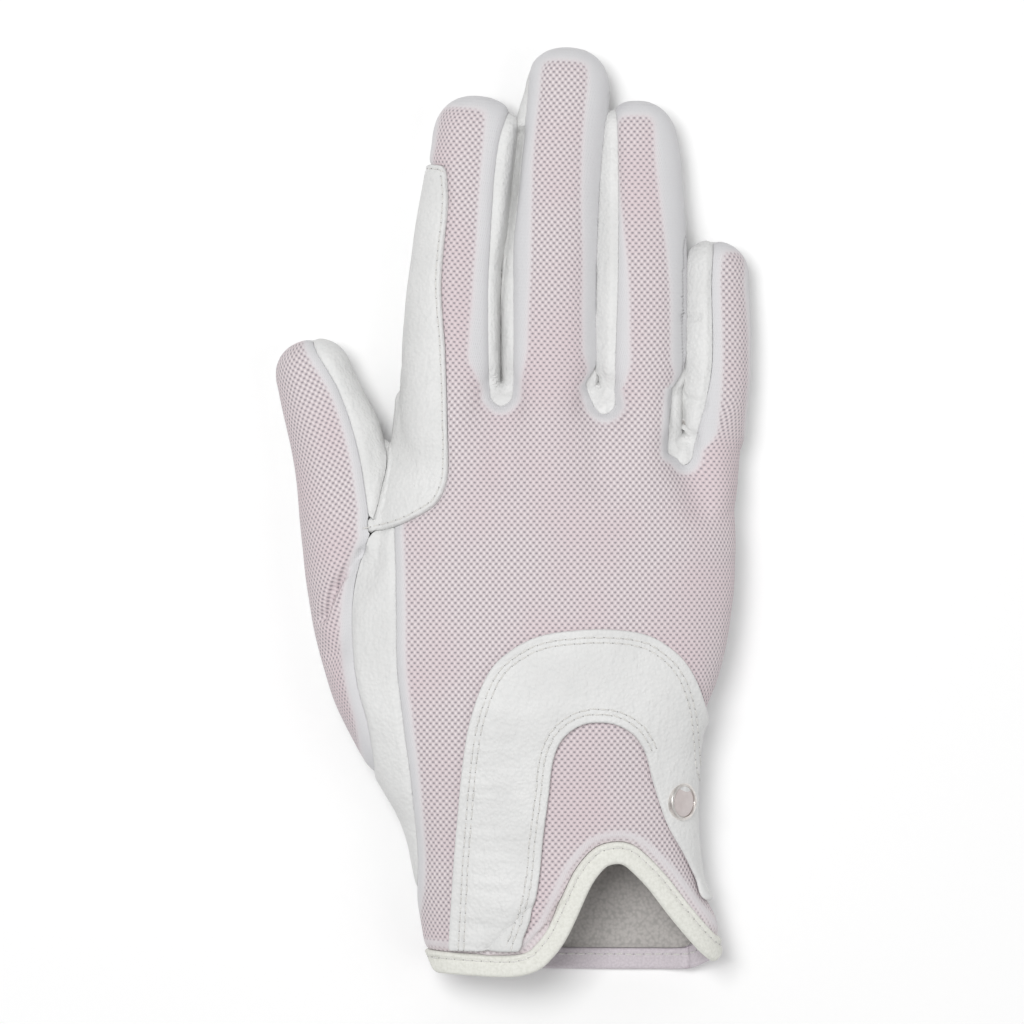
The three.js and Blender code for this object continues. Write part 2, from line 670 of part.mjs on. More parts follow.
// The press stud's cap on the strap: a metal rim round a recessed enamel face
const studBase = gloveForm(2 * SEAM_GAP + STRAP_THICKNESS);
function studPart(innerRadius, outerRadius, top) {
  const profile = [
    corner(innerRadius, -STUD_HEIGHT),
    corner(outerRadius, -STUD_HEIGHT),
    corner(outerRadius, top - STUD_RIM_WIDTH / 3),
    corner(outerRadius - STUD_RIM_WIDTH / 3, top),
    corner(innerRadius, top),
  ];
  const turned = new THREE.LatheGeometry([...profile, profile[0]], STUD_SIDES).rotateX(Math.PI / 2);
  const centre = handPoint(STUD_PLACE);
  turned.rotateY(THREE.MathUtils.degToRad(STUD_PLACE.tilt));
  turned.translate(centre.x, centre.y, STUD_PLACE.up * HAND_THICKNESS);
  return solidFromGeometry(turned).subtract(studBase);
}
const studRadius = STUD_DIAMETER / 2;
const rimInside = studRadius - STUD_RIM_WIDTH;
const studRim = studPart(rimInside, studRadius, STUD_HEIGHT);
const studFace = studPart(0, rimInside - SEAM_GAP, STUD_HEIGHT - STUD_RECESS);

// A cut can leave crumbs no thicker than the seam beside a panel, and only the panel itself is kept.
const largestBody = (solid) => solid.decompose().sort((a, b) => b.volume() - a.volume())[0];

const surface = (color, roughness, metalness = 0) =>
  new THREE.MeshStandardMaterial({ color, roughness, metalness });
const mesh = surface(0xdbd2d6, 0.9);
const leather = surface(0xe6e8e7, 0.6);
const pieces = {
  back_panel: { solid: rest, material: mesh },
  palm_panel: { solid: palm, material: leather },
  index_patch: { solid: patch, material: leather },
  thumb_back: { solid: thumbBack, material: mesh },
  thumb_front: { solid: thumbFront, material: leather },
  wrist_strap: { solid: strap, material: leather },
  cuff_binding: { solid: binding, material: surface(0xecece2, 0.75) },
  cuff_hem: { solid: hem, material: surface(0xcfc6c9, 0.7) },
  stud_rim: { solid: studRim, material: surface(0xa39c9a, 0.3, 1) },
  stud_face: { solid: studFace, material: surface(0xc4bab7, 0.35) },
};
FOURCHETTES.forEach(({ name }, i) => {
  pieces[name] = { solid: fourchettes[i], material: leather };
});

// Lying on the table, with the middle of its plan at the origin
const glove = new THREE.Group();
for (const [name, { solid, material }] of Object.entries(pieces)) {
  const { vertProperties, triVerts } = largestBody(solid).getMesh();
  const geometry = new THREE.BufferGeometry()
    .setAttribute("position", new THREE.BufferAttribute(vertProperties, 3))
    .setIndex(new THREE.BufferAttribute(triVerts, 1));
  const piece = new THREE.Mesh(geometry, material);
  piece.name = name;
  glove.add(piece);
}
const middle = new THREE.Box3().setFromObject(glove).getCenter(new THREE.Vector3());
for (const piece of glove.children) piece.geometry.translate(-middle.x, -middle.y, 0);

export default glove;
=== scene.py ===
"""A right-hand riding glove lying palm down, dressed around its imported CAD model. Metres, +Z up, fingers to +Y."""

import math
from collections import namedtuple

import bpy
import numpy as np
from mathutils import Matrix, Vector
from mathutils.bvhtree import BVHTree


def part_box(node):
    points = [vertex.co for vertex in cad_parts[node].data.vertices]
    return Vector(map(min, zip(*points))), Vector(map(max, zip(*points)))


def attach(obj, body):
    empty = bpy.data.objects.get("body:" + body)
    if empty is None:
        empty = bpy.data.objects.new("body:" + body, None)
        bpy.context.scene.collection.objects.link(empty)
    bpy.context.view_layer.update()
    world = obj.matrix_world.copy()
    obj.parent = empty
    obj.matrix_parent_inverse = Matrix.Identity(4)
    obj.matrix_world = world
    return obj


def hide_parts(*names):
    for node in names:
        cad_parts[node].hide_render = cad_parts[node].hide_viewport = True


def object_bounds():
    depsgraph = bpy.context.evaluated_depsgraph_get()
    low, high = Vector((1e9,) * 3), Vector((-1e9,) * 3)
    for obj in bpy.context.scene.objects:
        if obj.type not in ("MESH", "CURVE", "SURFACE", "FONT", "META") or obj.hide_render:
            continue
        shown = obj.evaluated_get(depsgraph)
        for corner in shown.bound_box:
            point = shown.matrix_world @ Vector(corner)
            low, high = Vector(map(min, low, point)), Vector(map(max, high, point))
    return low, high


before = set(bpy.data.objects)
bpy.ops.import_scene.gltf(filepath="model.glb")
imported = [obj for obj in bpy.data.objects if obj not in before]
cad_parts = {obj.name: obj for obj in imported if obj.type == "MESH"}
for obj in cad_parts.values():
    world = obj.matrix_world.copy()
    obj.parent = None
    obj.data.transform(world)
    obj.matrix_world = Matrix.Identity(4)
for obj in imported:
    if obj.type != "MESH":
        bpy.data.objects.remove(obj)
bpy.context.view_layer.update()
MM = 0.001

# The sewn form. Mesh and leather panels are sewn together inside out and turned, and the glove keeps the filled-out
# shape of the hand it was moulded on. The form is lofted from the hand's and the digits' sections, drawn into one
# skin, softened and creased. Every panel below is cut out of this skin, so that neighbours meet along their seams.
HAND_LENGTH = 142 * MM
HAND_WIDTH = 91 * MM
HAND_THICKNESS = 30 * MM
SEAM_HEIGHT = 7 * MM
SQUARENESS = 2.25
UNDERSIDE_SINK = 0.06
DIGIT_DOME = 0.5
TIP_LIFT = 0.2
MEETING_PLACE = (-0.925, 0.755)
STUD_ALONG, STUD_TILT = 0.297, 46

Digit = namedtuple("Digit", "across along length width height lean")
DIGITS = {
    "index": Digit(-0.51, 1.0, 71.2 * MM, 24 * MM, 18 * MM, 5.7),
    "middle": Digit(0.015, 1.0, 82.9 * MM, 22.7 * MM, 18.5 * MM, 3.4),
    "ring": Digit(0.5, 0.99, 71.1 * MM, 20.2 * MM, 18 * MM, -0.3),
    "little": Digit(0.85, 0.885, 52 * MM, 15.4 * MM, 15.5 * MM, 3.4),
    "thumb": Digit(-0.605, 0.295, 115.7 * MM, 29.4 * MM, 20 * MM, -15.5),
}
Section = namedtuple("Section", "along aside width height lift")
DIGIT_SECTIONS = {
    "index": [
        Section(-0.5, 0.25, 0.6, 0.7, 0.4),
        Section(-0.2, 0.06, 0.92, 1.18, 0.16),
        Section(0.0, 0.02, 0.95, 1.18, 0.02),
        Section(0.3, -0.01, 0.955, 1.03, 0.07),
        Section(0.6, 0.0, 0.905, 0.96, 0.08),
        Section(0.82, 0.01, 0.83, 0.9, 0.04),
    ],
    "middle": [
        Section(-0.4, 0.0, 0.7, 1.15, 0.3),
        Section(-0.15, 0.0, 0.95, 1.3, 0.1),
        Section(0.0, 0.01, 0.97, 1.2, 0.02),
        Section(0.3, -0.03, 0.925, 1.03, 0.08),
        Section(0.6, -0.035, 0.865, 0.95, 0.08),
        Section(0.87, 0.015, 0.825, 0.86, 0.04),
    ],
    "ring": [
        Section(-0.45, -0.08, 0.7, 1.1, 0.3),
        Section(-0.18, 0.0, 0.92, 1.28, 0.1),
        Section(0.0, 0.01, 0.945, 1.18, 0.02),
        Section(0.3, 0.0, 0.975, 1.02, 0.08),
        Section(0.6, 0.01, 0.91, 0.95, 0.08),
        Section(0.86, 0.0, 0.82, 0.86, 0.04),
    ],
    "little": [
        Section(-0.6, -0.25, 0.7, 0.75, 0.42),
        Section(-0.25, -0.01, 0.98, 1.2, 0.16),
        Section(0.0, 0.03, 0.99, 1.15, 0.04),
        Section(0.35, 0.08, 0.96, 1.0, 0.08),
        Section(0.6, 0.05, 0.97, 0.96, 0.07),
        Section(0.82, 0.0, 0.92, 0.9, 0.04),
    ],
    "thumb": [
        Section(-0.14, 0.14, 0.35, 0.5, 0.42),
        Section(0.0, 0.03, 0.66, 0.95, 0.2),
        Section(0.22, -0.045, 0.95, 1.15, 0.06),
        Section(0.42, -0.05, 0.98, 1.05, 0.05),
        Section(0.59, -0.025, 0.85, 0.95, 0.08),
        Section(0.745, 0.04, 0.77, 0.88, 0.08),
        Section(0.92, 0.0, 0.6, 0.8, 0.04),
    ],
}
HandRow = namedtuple("HandRow", "left_along right_along left right ahead thick")
HAND_ROWS = [
    HandRow(-0.04, -0.04, -0.59, 0.945, 0, 0.86),
    HandRow(0.03, 0.03, -0.62, 0.945, 0, 0.88),
    HandRow(0.09, 0.09, -0.65, 0.925, 0, 0.89),
    HandRow(0.15, 0.15, -0.69, 0.825, 0, 0.9),
    HandRow(0.225, 0.225, -0.735, 0.775, 0, 0.91),
    HandRow(0.3, 0.3, -0.82, 0.765, 0, 0.94),
    HandRow(0.37, 0.37, -0.91, 0.79, 0, 0.97),
    HandRow(0.44, 0.44, -0.975, 0.865, 0, 1),
    HandRow(0.51, 0.51, -1.015, 0.938, 0, 1),
    HandRow(0.58, 0.58, -1.035, 0.978, 0, 0.99),
    HandRow(0.67, 0.65, -1.01, 1.0, 0, 0.96),
    HandRow(0.77, 0.72, -0.93, 1.003, 0.005, 0.93),
    HandRow(0.87, 0.79, -0.835, 1.0, 0.025, 0.87),
    HandRow(0.95, 0.835, -0.785, 1.005, 0.05, 0.77),
    HandRow(0.98, 0.855, -0.78, 1.0, 0.07, 0.62),
    HandRow(0.99, 0.865, -0.77, 0.99, 0.077, 0.4),
]
WebShare = namedtuple("WebShare", "share ahead")
WEB_LINE = [
    WebShare(0.0, 0.0),
    WebShare(0.15, 0.3),
    WebShare(0.33, 0.7),
    WebShare(0.6, 1.0),
    WebShare(0.72, 0.8),
    WebShare(0.84, 0.13),
    WebShare(1.0, 0.0),
]

# The hand's own zero, where its middle line meets the cuff, in the frame's metres
rim_low, rim_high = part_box("stud_rim")
patch_low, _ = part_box("index_patch")
HAND_ORIGIN = np.array(
    [
        patch_low.x - MEETING_PLACE[0] * HAND_WIDTH / 2,
        (rim_low.y + rim_high.y) / 2 - STUD_ALONG * HAND_LENGTH,
    ]
)


def on_hand(across, along):
    """Places given as shares of half the hand's width and of its length, in the frame."""
    return HAND_ORIGIN + np.array([across * HAND_WIDTH / 2, along * HAND_LENGTH])


def column(rows, key, share, by="along"):
    """A column of a table at a given share, on a smooth curve through its rows."""
    x = np.array([getattr(row, by) for row in rows])
    y = np.array([getattr(row, key) for row in rows])
    last = len(rows) - 1
    before, after = np.maximum(np.arange(last + 1) - 1, 0), np.minimum(np.arange(last + 1) + 1, last)
    slope = (y[after] - y[before]) / (x[after] - x[before])
    share = np.clip(share, x[0], x[-1])
    k = np.clip(np.searchsorted(x, share, side="right") - 1, 0, last - 1)
    span = x[k + 1] - x[k]
    t = (share - x[k]) / span
    h = t * t * (3 - 2 * t)
    bend = span * t * (1 - t) * ((1 - t) * slope[k] - t * slope[k + 1])
    return y[k] * (1 - h) + y[k + 1] * h + bend


def drawn_square(value):
    """A sine or cosine drawn out towards a square's."""
    return np.sign(value) * np.abs(value) ** (2 / SQUARENESS)


def ease(low, high, value):
    """0 below low, 1 above high and a smooth rise between."""
    t = np.clip((value - low) / (high - low), 0, 1)
    return t * t * (3 - 2 * t)


def digit_axes(name):
    """A digit's root on the table, the way it points and the way to its right."""
    digit = DIGITS[name]
    lean = math.radians(digit.lean)
    forward = np.array([math.sin(lean), math.cos(lean)])
    return on_hand(digit.across, digit.along), forward, np.array([forward[1], -forward[0]])


def on_digit(name, along, aside):
    """A place in a digit's own shares: of its length, and of half its width there."""
    digit, rows = DIGITS[name], DIGIT_SECTIONS[name]
    root, forward, right = digit_axes(name)
    side = column(rows, "aside", along) * digit.width + aside * column(rows, "width", along) * digit.width / 2
    return root + np.multiply.outer(along, forward) * digit.length + np.multiply.outer(side, right)


def digit_rings(name, sides, steps, dome_steps):
    """The rings of one digit, from inside the hand to its tip."""
    digit, rows = DIGITS[name], DIGIT_SECTIONS[name]
    _, _, right = digit_axes(name)
    dome = DIGIT_DOME * column(rows, "width", 1.0) * digit.width
    shoulder = 1 - dome / digit.length
    turns = np.linspace(0, 1, dome_steps + 1)[1:-1] * math.pi / 2
    along = np.concatenate(
        [np.linspace(rows[0].along, shoulder, steps), shoulder + dome / digit.length * drawn_square(np.sin(turns))]
    )
    rounding = np.concatenate([np.ones(steps), drawn_square(np.cos(turns))])
    angle = np.arange(sides) / sides * 2 * math.pi
    rings = []
    for share, round_by in zip(along, rounding):
        centre = on_digit(name, share, 0.0)
        half_width = column(rows, "width", share) * digit.width / 2 * round_by
        height = column(rows, "height", share) * digit.height
        lift = column(rows, "lift", share) * digit.height
        low, high = lift - UNDERSIDE_SINK * height, lift + height
        half_height = (high - low) / 2 * round_by
        plan = centre + np.multiply.outer(drawn_square(np.cos(angle)) * half_width, right)
        z = (low + high) / 2 + drawn_square(np.sin(angle)) * half_height
        rings.append(np.column_stack([plan, z]))
    return rings


def hand_rings(sides, steps):
    """The rings of the hand, from the cuff to the webs."""
    Numbered = namedtuple("Numbered", ("along",) + HandRow._fields)
    table = [Numbered(float(number), *row) for number, row in enumerate(HAND_ROWS)]
    angle = np.arange(sides) / sides * 2 * math.pi
    rings = []
    for place in np.linspace(0, len(table) - 1, steps):
        value = {key: column(table, key, place) for key in HandRow._fields}
        left = on_hand(value["left"], value["left_along"])
        right = on_hand(value["right"], value["right_along"])
        centre, half = (left + right) / 2, (right - left) / 2
        thickness = value["thick"] * HAND_THICKNESS
        lift = TIP_LIFT * thickness * max(0.0, place - (len(table) - 2))
        low, high = lift - UNDERSIDE_SINK * thickness, lift + thickness
        aside = drawn_square(np.cos(angle))
        plan = centre + np.multiply.outer(aside, half)
        plan[:, 1] += column(WEB_LINE, "ahead", (aside + 1) / 2, "share") * value["ahead"] * HAND_LENGTH
        rings.append(np.column_stack([plan, (low + high) / 2 + drawn_square(np.sin(angle)) * (high - low) / 2]))
    return rings


def closed_loft(rings):
    """Points and faces of a closed form through equal rings."""
    sides = len(rings[0])
    points = np.vstack(rings + [rings[0].mean(0, keepdims=True), rings[-1].mean(0, keepdims=True)])
    start, end, last = len(points) - 2, len(points) - 1, (len(rings) - 1) * sides
    faces = []
    for j in range(sides):
        k = (j + 1) % sides
        for i in range(len(rings) - 1):
            near, far = i * sides, (i + 1) * sides
            faces.append((near + j, near + k, far + k, far + j))
        faces += [(start, k, j), (end, last + j, last + k)]
    return points, faces


# The fingers lie so close that one skin would close over the slits between them, so they are spread while the skin
# is drawn, and brought together again afterwards
SPREAD = 3 * MM
SPREAD_RISE = 6 * MM
MAIN_WEBS = HAND_ORIGIN[1] + 1.003 * HAND_LENGTH
LITTLE_WEB = HAND_ORIGIN[1] + 0.9 * HAND_LENGTH
WEB_PLACES = [on_hand(-0.235, 1.0), on_hand(0.305, 1.0), on_hand(0.745, 0.9)]


def spread_by(rank, y):
    """How far a finger is spread at a height y: rank counts the slits between it and the middle finger."""
    main, little = ease(0, SPREAD_RISE, y - MAIN_WEBS), ease(0, SPREAD_RISE, y - LITTLE_WEB)
    return SPREAD * np.where(rank == 2, main + little, rank * main)


FINGER_RANKS = {"index": -1, "middle": 0, "ring": 1, "little": 2}

# Hollows between the knuckles and folds in the skin, as straight grooves from one place on the hand to another, the
# broad ones first. Depth and reach are in millimetres.
Groove = namedtuple("Groove", "from_across from_along to_across to_along depth reach")
GROOVES = [
    Groove(-0.24, 0.99, -0.2, 0.86, 1.8, 5.5),
    Groove(0.3, 0.98, 0.3, 0.85, 1.8, 5.5),
    Groove(0.72, 0.9, 0.84, 0.8, 2.1, 4.5),
    Groove(-0.98, 0.7, -1.12, 0.55, 2.4, 3.6),
    Groove(-0.1, 0.07, 0.02, 0.105, 0.5, 3.0),
    Groove(-0.97, 0.722, -1.05, 0.692, 2.1, 1.2),
    Groove(-1.05, 0.692, -1.13, 0.655, 2.8, 1.2),
    Groove(-1.13, 0.655, -1.195, 0.607, 2.4, 1.2),
    Groove(-0.12, 0.05, -0.01, 0.082, 1.1, 0.9),
    Groove(-0.01, 0.082, 0.075, 0.123, 0.8, 0.9),
    Groove(0.744, 1.122, 0.813, 1.121, 0.8, 0.8),
    Groove(0.744, 1.143, 0.8, 1.142, 0.35, 0.6),
    Groove(0.7, 0.98, 0.74, 0.89, 1.2, 1.6),
    Groove(0.74, 0.89, 0.82, 0.822, 1.0, 1.6),
    Groove(0.744, 0.985, 0.84, 0.972, 0.8, 0.9),
    Groove(-0.305, 0.05, -0.088, 0.12, 0.7, 1.2),
]


def groove_depth(x, y):
    """How deep the hollows and folds are at places on the plan."""
    depth = np.zeros_like(x)
    for groove in GROOVES:
        start = on_hand(groove.from_across, groove.from_along)
        run = on_hand(groove.to_across, groove.to_along) - start
        t = np.clip(((x - start[0]) * run[0] + (y - start[1]) * run[1]) / (run @ run), 0, 1)
        away = np.hypot(x - start[0] - t * run[0], y - start[1] - t * run[1])
        depth = np.maximum(depth, groove.depth * MM * np.exp(-((away / (groove.reach * MM)) ** 2)))
    return depth


def mesh_object(name, points, faces):
    """A new object with the given points and faces."""
    mesh = bpy.data.meshes.new(name)
    mesh.from_pydata(np.asarray(points).tolist(), [], faces)
    thing = bpy.data.objects.new(name, mesh)
    bpy.context.scene.collection.objects.link(thing)
    return thing


def positions(mesh):
    """The places of a mesh's points."""
    places = np.empty(len(mesh.vertices) * 3, np.float32)
    mesh.vertices.foreach_get("co", places)
    return places.reshape(-1, 3).astype(float)


SKIN_GRAIN = 0.9 * MM
DIGIT_SIDES, DIGIT_STEPS, TIP_STEPS = 64, 150, 14
HAND_SIDES, HAND_STEPS = 96, 70
form_points, form_faces = [], []
for name in DIGITS:
    points, faces = closed_loft(digit_rings(name, DIGIT_SIDES, DIGIT_STEPS, TIP_STEPS))
    if name in FINGER_RANKS:
        points[:, 0] += spread_by(FINGER_RANKS[name], points[:, 1])
    shift = sum(len(p) for p in form_points)
    form_points.append(points)
    form_faces += [tuple(i + shift for i in face) for face in faces]
points, faces = closed_loft(hand_rings(HAND_SIDES, HAND_STEPS))
shift = sum(len(p) for p in form_points)
form_points.append(points)
form_faces += [tuple(i + shift for i in face) for face in faces]
form = mesh_object("form", np.vstack(form_points), form_faces)
skinning = form.modifiers.new("skin", "REMESH")
skinning.mode = "VOXEL"
skinning.voxel_size = SKIN_GRAIN
skin_mesh = bpy.data.meshes.new_from_object(form.evaluated_get(bpy.context.evaluated_depsgraph_get()))
bpy.data.objects.remove(form)

skin = positions(skin_mesh)
skin_edges = np.empty(len(skin_mesh.edges) * 2, np.int32)
skin_mesh.edges.foreach_get("vertices", skin_edges)
skin_edges = skin_edges.reshape(-1, 2)
skin_mesh.calc_loop_triangles()
skin_tris = np.empty(len(skin_mesh.loop_triangles) * 3, np.int32)
skin_mesh.loop_triangles.foreach_get("vertices", skin_tris)
skin_tris = skin_tris.reshape(-1, 3)
bpy.data.meshes.remove(skin_mesh)


DRAW_IN, PUSH_OUT = 0.5, -0.53


def softened(values, edges, turns, keep_size=True):
    """Values on points, each drawn towards its neighbours' mean, and pushed out again on every other turn."""
    count = len(values)
    ends = np.concatenate([edges[:, 0], edges[:, 1]])
    others = np.concatenate([edges[:, 1], edges[:, 0]])
    degree = np.bincount(ends, minlength=count)[:, None]
    values = values.reshape(count, -1).copy()
    for turn in range(turns):
        near = np.column_stack([np.bincount(ends, values[others, k], count) for k in range(values.shape[1])])
        pull = PUSH_OUT if keep_size and turn % 2 else DRAW_IN
        values += pull * (near / degree - values)
    return values


def point_normals(points, tris):
    """Each point's outward direction, from the faces round it."""
    a, b, c = (points[tris[:, k]] for k in range(3))
    across = np.cross(b - a, c - a)
    total = np.column_stack(
        [sum(np.bincount(tris[:, j], across[:, k], len(points)) for j in range(3)) for k in range(3)]
    )
    return total / np.maximum(np.linalg.norm(total, axis=1, keepdims=True), 1e-12)


# Softening draws the skin in a little, so it is let out again by as much
SKIN_LET_OUT = 0.6 * MM
SOFTENING_TURNS = 24
TABLE_CLEARANCE = 0.02 * MM
skin = softened(skin, skin_edges, SOFTENING_TURNS)
skin += point_normals(skin, skin_tris) * SKIN_LET_OUT
skin[:, 2] = np.maximum(skin[:, 2], TABLE_CLEARANCE)

# Bring the spread fingers together again
SLIT_LEANS = (4.5, 1.5, 1.0)
THUMB_EDGE = -0.9
slit_x = [place[0] for place in WEB_PLACES]
slit_slopes = [math.tan(math.radians(lean)) for lean in SLIT_LEANS]
rank = np.zeros(len(skin))
y = skin[:, 1]
for slit, (x0, slope) in enumerate(zip(slit_x, slit_slopes)):
    start = MAIN_WEBS if slit < 2 else LITTLE_WEB
    low_rank = slit - 1
    middle = x0 + slope * (y - start) + (spread_by(low_rank, y) + spread_by(low_rank + 1, y)) / 2
    past = (skin[:, 0] > middle) & (y > start)
    rank = np.where(past, low_rank + 1, rank) if slit else np.where((~past) & (y > start), -1, rank)
past_thumb = skin[:, 0] > on_hand(THUMB_EDGE, 0)[0]
skin[:, 0] -= np.where(past_thumb, spread_by(rank, y), 0)

# The filled fingers swell sideways until they touch. How far each does, on its left and on its right.
Swelling = namedtuple("Swelling", "left right")
SWELLINGS = {
    -1: Swelling(0.0, 0.4 * MM),
    0: Swelling(1.2 * MM, 0.9 * MM),
    1: Swelling(1.0 * MM, 1.7 * MM),
    2: Swelling(0.0, 1.0 * MM),
}
SWELLING_START = (-2 * MM, 6 * MM)
SWELLING_END = (0.75, 1.0)
sideways = point_normals(skin, skin_tris)[:, 0]
for finger, swelling in SWELLINGS.items():
    start = LITTLE_WEB if finger == 2 else MAIN_WEBS
    digit = DIGITS[next(name for name, known in FINGER_RANKS.items() if known == finger)]
    risen = y - start
    share = ease(*SWELLING_START, risen) * (1 - ease(*SWELLING_END, risen / digit.length))
    amount = np.where(sideways < 0, swelling.left, swelling.right) * sideways * share
    skin[:, 0] += np.where((rank == finger) & past_thumb, amount, 0)

# The mesh is drawn tight over the knuckles and the thumb's root, so the digits' roots show there only faintly
TautPlace = namedtuple("TautPlace", "across along reach_across reach_along turns")
TAUT_PLACES = [
    TautPlace(0.05, 0.84, 0.95, 0.13, 160),
    TautPlace(-0.8, 0.42, 0.35, 0.32, 90),
    TautPlace(-0.235, 0.995, 0.1, 0.032, 60),
    TautPlace(0.305, 0.995, 0.1, 0.032, 60),
    TautPlace(0.73, 0.9, 0.1, 0.035, 60),
    TautPlace(-0.84, 0.9, 0.12, 0.05, 60),
]
TAUT_CORE = 0.55
TAUT_HEIGHTS = (9 * MM, 14 * MM)
TAUT_STEP = 10
for place in TAUT_PLACES:
    away = np.hypot(
        (skin[:, 0] - on_hand(place.across, 0)[0]) / (place.reach_across * HAND_WIDTH / 2),
        (skin[:, 1] - on_hand(0, place.along)[1]) / (place.reach_along * HAND_LENGTH),
    )
    weight = (1 - ease(TAUT_CORE, 1.0, away)) * ease(*TAUT_HEIGHTS, skin[:, 2])
    drawn = skin.copy()
    for _ in range(place.turns // TAUT_STEP):
        drawn += weight[:, None] * (softened(drawn, skin_edges, TAUT_STEP, keep_size=False) - drawn)
    skin = drawn

# The strap and the cuff draw the little finger's side of the wrist in. Shares along the hand, and how far.
Drawn = namedtuple("Drawn", "along depth")
DRAWN_IN = [
    Drawn(-0.05, 0.8 * MM),
    Drawn(0.08, 1.0 * MM),
    Drawn(0.15, 0.6 * MM),
    Drawn(0.23, 0.0),
    Drawn(0.34, 0.0),
    Drawn(0.42, 1.7 * MM),
    Drawn(0.5, 1.2 * MM),
    Drawn(0.6, 0.6 * MM),
    Drawn(0.72, 0.0),
]
DRAWN_SIDE = (0.4, 0.85)
along = (skin[:, 1] - HAND_ORIGIN[1]) / HAND_LENGTH
aside = (skin[:, 0] - HAND_ORIGIN[0]) / (HAND_WIDTH / 2)
drawn_in = column(DRAWN_IN, "depth", along) * ease(*DRAWN_SIDE, aside)
skin[:, 0] -= drawn_in * (along < DRAWN_IN[-1].along)

# The slit between the index and the middle finger closes to a dark line, drawn here from the tips' side to the web
SLIT_ROWS = [(-0.139, 1.4387), (-0.182, 1.324), (-0.225, 1.2296), (-0.241, 1.16), (-0.238, 1.101), (-0.23, 1.014)]
SLIT_DEPTH = 4.5 * MM
SLIT_REACH = 0.95 * MM
SLIT_FLOOR = 7.4 * MM
SLIT_HEIGHTS = (8 * MM, 10 * MM)
LINE_STEPS = 6


def smooth_line(places, steps=LINE_STEPS):
    """A smooth line through places on the plan."""
    p = np.asarray(places)
    ends = np.vstack([2 * p[0] - p[1], p, 2 * p[-1] - p[-2]])
    line = []
    for i in range(1, len(ends) - 2):
        a, b, c, d = ends[i - 1 : i + 3]
        t = np.linspace(0, 1, steps, endpoint=False)[:, None]
        square, cube = 2 * a - 5 * b + 4 * c - d, 3 * b - a - 3 * c + d
        line.append(0.5 * (2 * b + (c - a) * t + square * t**2 + cube * t**3))
    return np.vstack(line + [p[-1:]])


def hand_line(rows, steps=LINE_STEPS):
    """A smooth line through places given as shares of the hand."""
    return smooth_line([on_hand(*row) for row in rows], steps)


def distance_to(line, x, y):
    """How far places on the plan lie from a line."""
    nearest = np.full(len(x), np.inf)
    for start, end in zip(line[:-1], line[1:]):
        run = end - start
        t = np.clip(((x - start[0]) * run[0] + (y - start[1]) * run[1]) / max(run @ run, 1e-18), 0, 1)
        nearest = np.minimum(nearest, np.hypot(x - start[0] - t * run[0], y - start[1] - t * run[1]))
    return nearest


away = distance_to(hand_line(SLIT_ROWS), skin[:, 0], skin[:, 1])
sunk = SLIT_DEPTH * np.exp(-((away / SLIT_REACH) ** 2)) * ease(*SLIT_HEIGHTS, skin[:, 2])
skin[:, 2] = np.where(skin[:, 2] > SLIT_FLOOR, np.maximum(skin[:, 2] - sunk, SLIT_FLOOR), skin[:, 2])
normals = point_normals(skin, skin_tris)
# Folds show on what faces up, and fade out down the sides
FOLD_FACING = (0.1, 0.5)
FOLD_HEIGHTS = (8 * MM, 12 * MM)
sunk = groove_depth(skin[:, 0], skin[:, 1])
sunk = sunk * ease(*FOLD_FACING, normals[:, 2]) * ease(*FOLD_HEIGHTS, skin[:, 2])
skin -= normals * sunk[:, None]
normals = point_normals(skin, skin_tris)

# The panels' outlines. A panel is sewn edge to edge with its neighbours, with the seam's allowance turned inside, so
# its edge rolls in a little and a fine valley shows where two panels meet. Each panel claims its share of the skin by
# a field: how far each point lies outside its outline, less than nothing inside it.
WALL = 1.2 * MM
SEAM_CLEARANCE = 0.04 * MM
FAR = 0.4


def digit_line(name, rows, steps=LINE_STEPS):
    """A smooth line through places given as shares of a digit."""
    return smooth_line([on_digit(name, *row) for row in rows], steps)


def outside(outline, x, y):
    """How far places on the plan lie outside a closed outline, less than nothing inside it."""
    closed = np.vstack([outline, outline[:1]])
    inside = np.zeros(len(x), bool)
    for start, end in zip(closed[:-1], closed[1:]):
        spans = (start[1] > y) != (end[1] > y)
        if not spans.any():
            continue
        at = start[0] + (y - start[1]) * (end[0] - start[0]) / (end[1] - start[1] + 1e-30)
        inside ^= spans & (x < at)
    return np.where(inside, -1, 1) * distance_to(closed, x, y)


def corner(x, y):
    """One place on the plan, as a row of an outline."""
    return np.array([[x, y]])


x, y, z = skin.T
above_seam = SEAM_HEIGHT - z
CUFF_EDGE = hand_line(
    [(-0.8, 0.06), (-0.64, 0.03), (-0.585, 0.005), (-0.45, 0.001), (0.0, 0.0), (0.5, -0.001), (0.76, 0.001)]
    + [(0.866, 0.013), (0.941, 0.03), (1.05, 0.055)]
)
past_cuff = outside(np.vstack([CUFF_EDGE, corner(FAR, -FAR), corner(-FAR, -FAR)]), x, y)
NOTCH_LINE = hand_line(
    [(-0.85, 0.022), (-0.6, 0.0225), (-0.38, 0.0205), (-0.19, 0.0195), (-0.07, 0.029), (0.0, 0.049), (0.055, 0.073)]
    + [(0.107, 0.106), (0.155, 0.1405), (0.209, 0.1745), (0.29, 0.204), (0.375, 0.212), (0.444, 0.2075)]
    + [(0.514, 0.189), (0.605, 0.158), (0.701, 0.118), (0.797, 0.0806), (0.894, 0.048), (0.99, 0.03), (1.1, 0.02)]
)
below_notch = outside(np.vstack([NOTCH_LINE, corner(FAR, -FAR), corner(-FAR, -FAR)]), x, y)
THUMB_SEAM = hand_line(
    [(-1.24, 1.14), (-1.235, 1.078), (-1.09, 0.995), (-0.995, 0.9), (-0.95, 0.82), MEETING_PLACE]
)
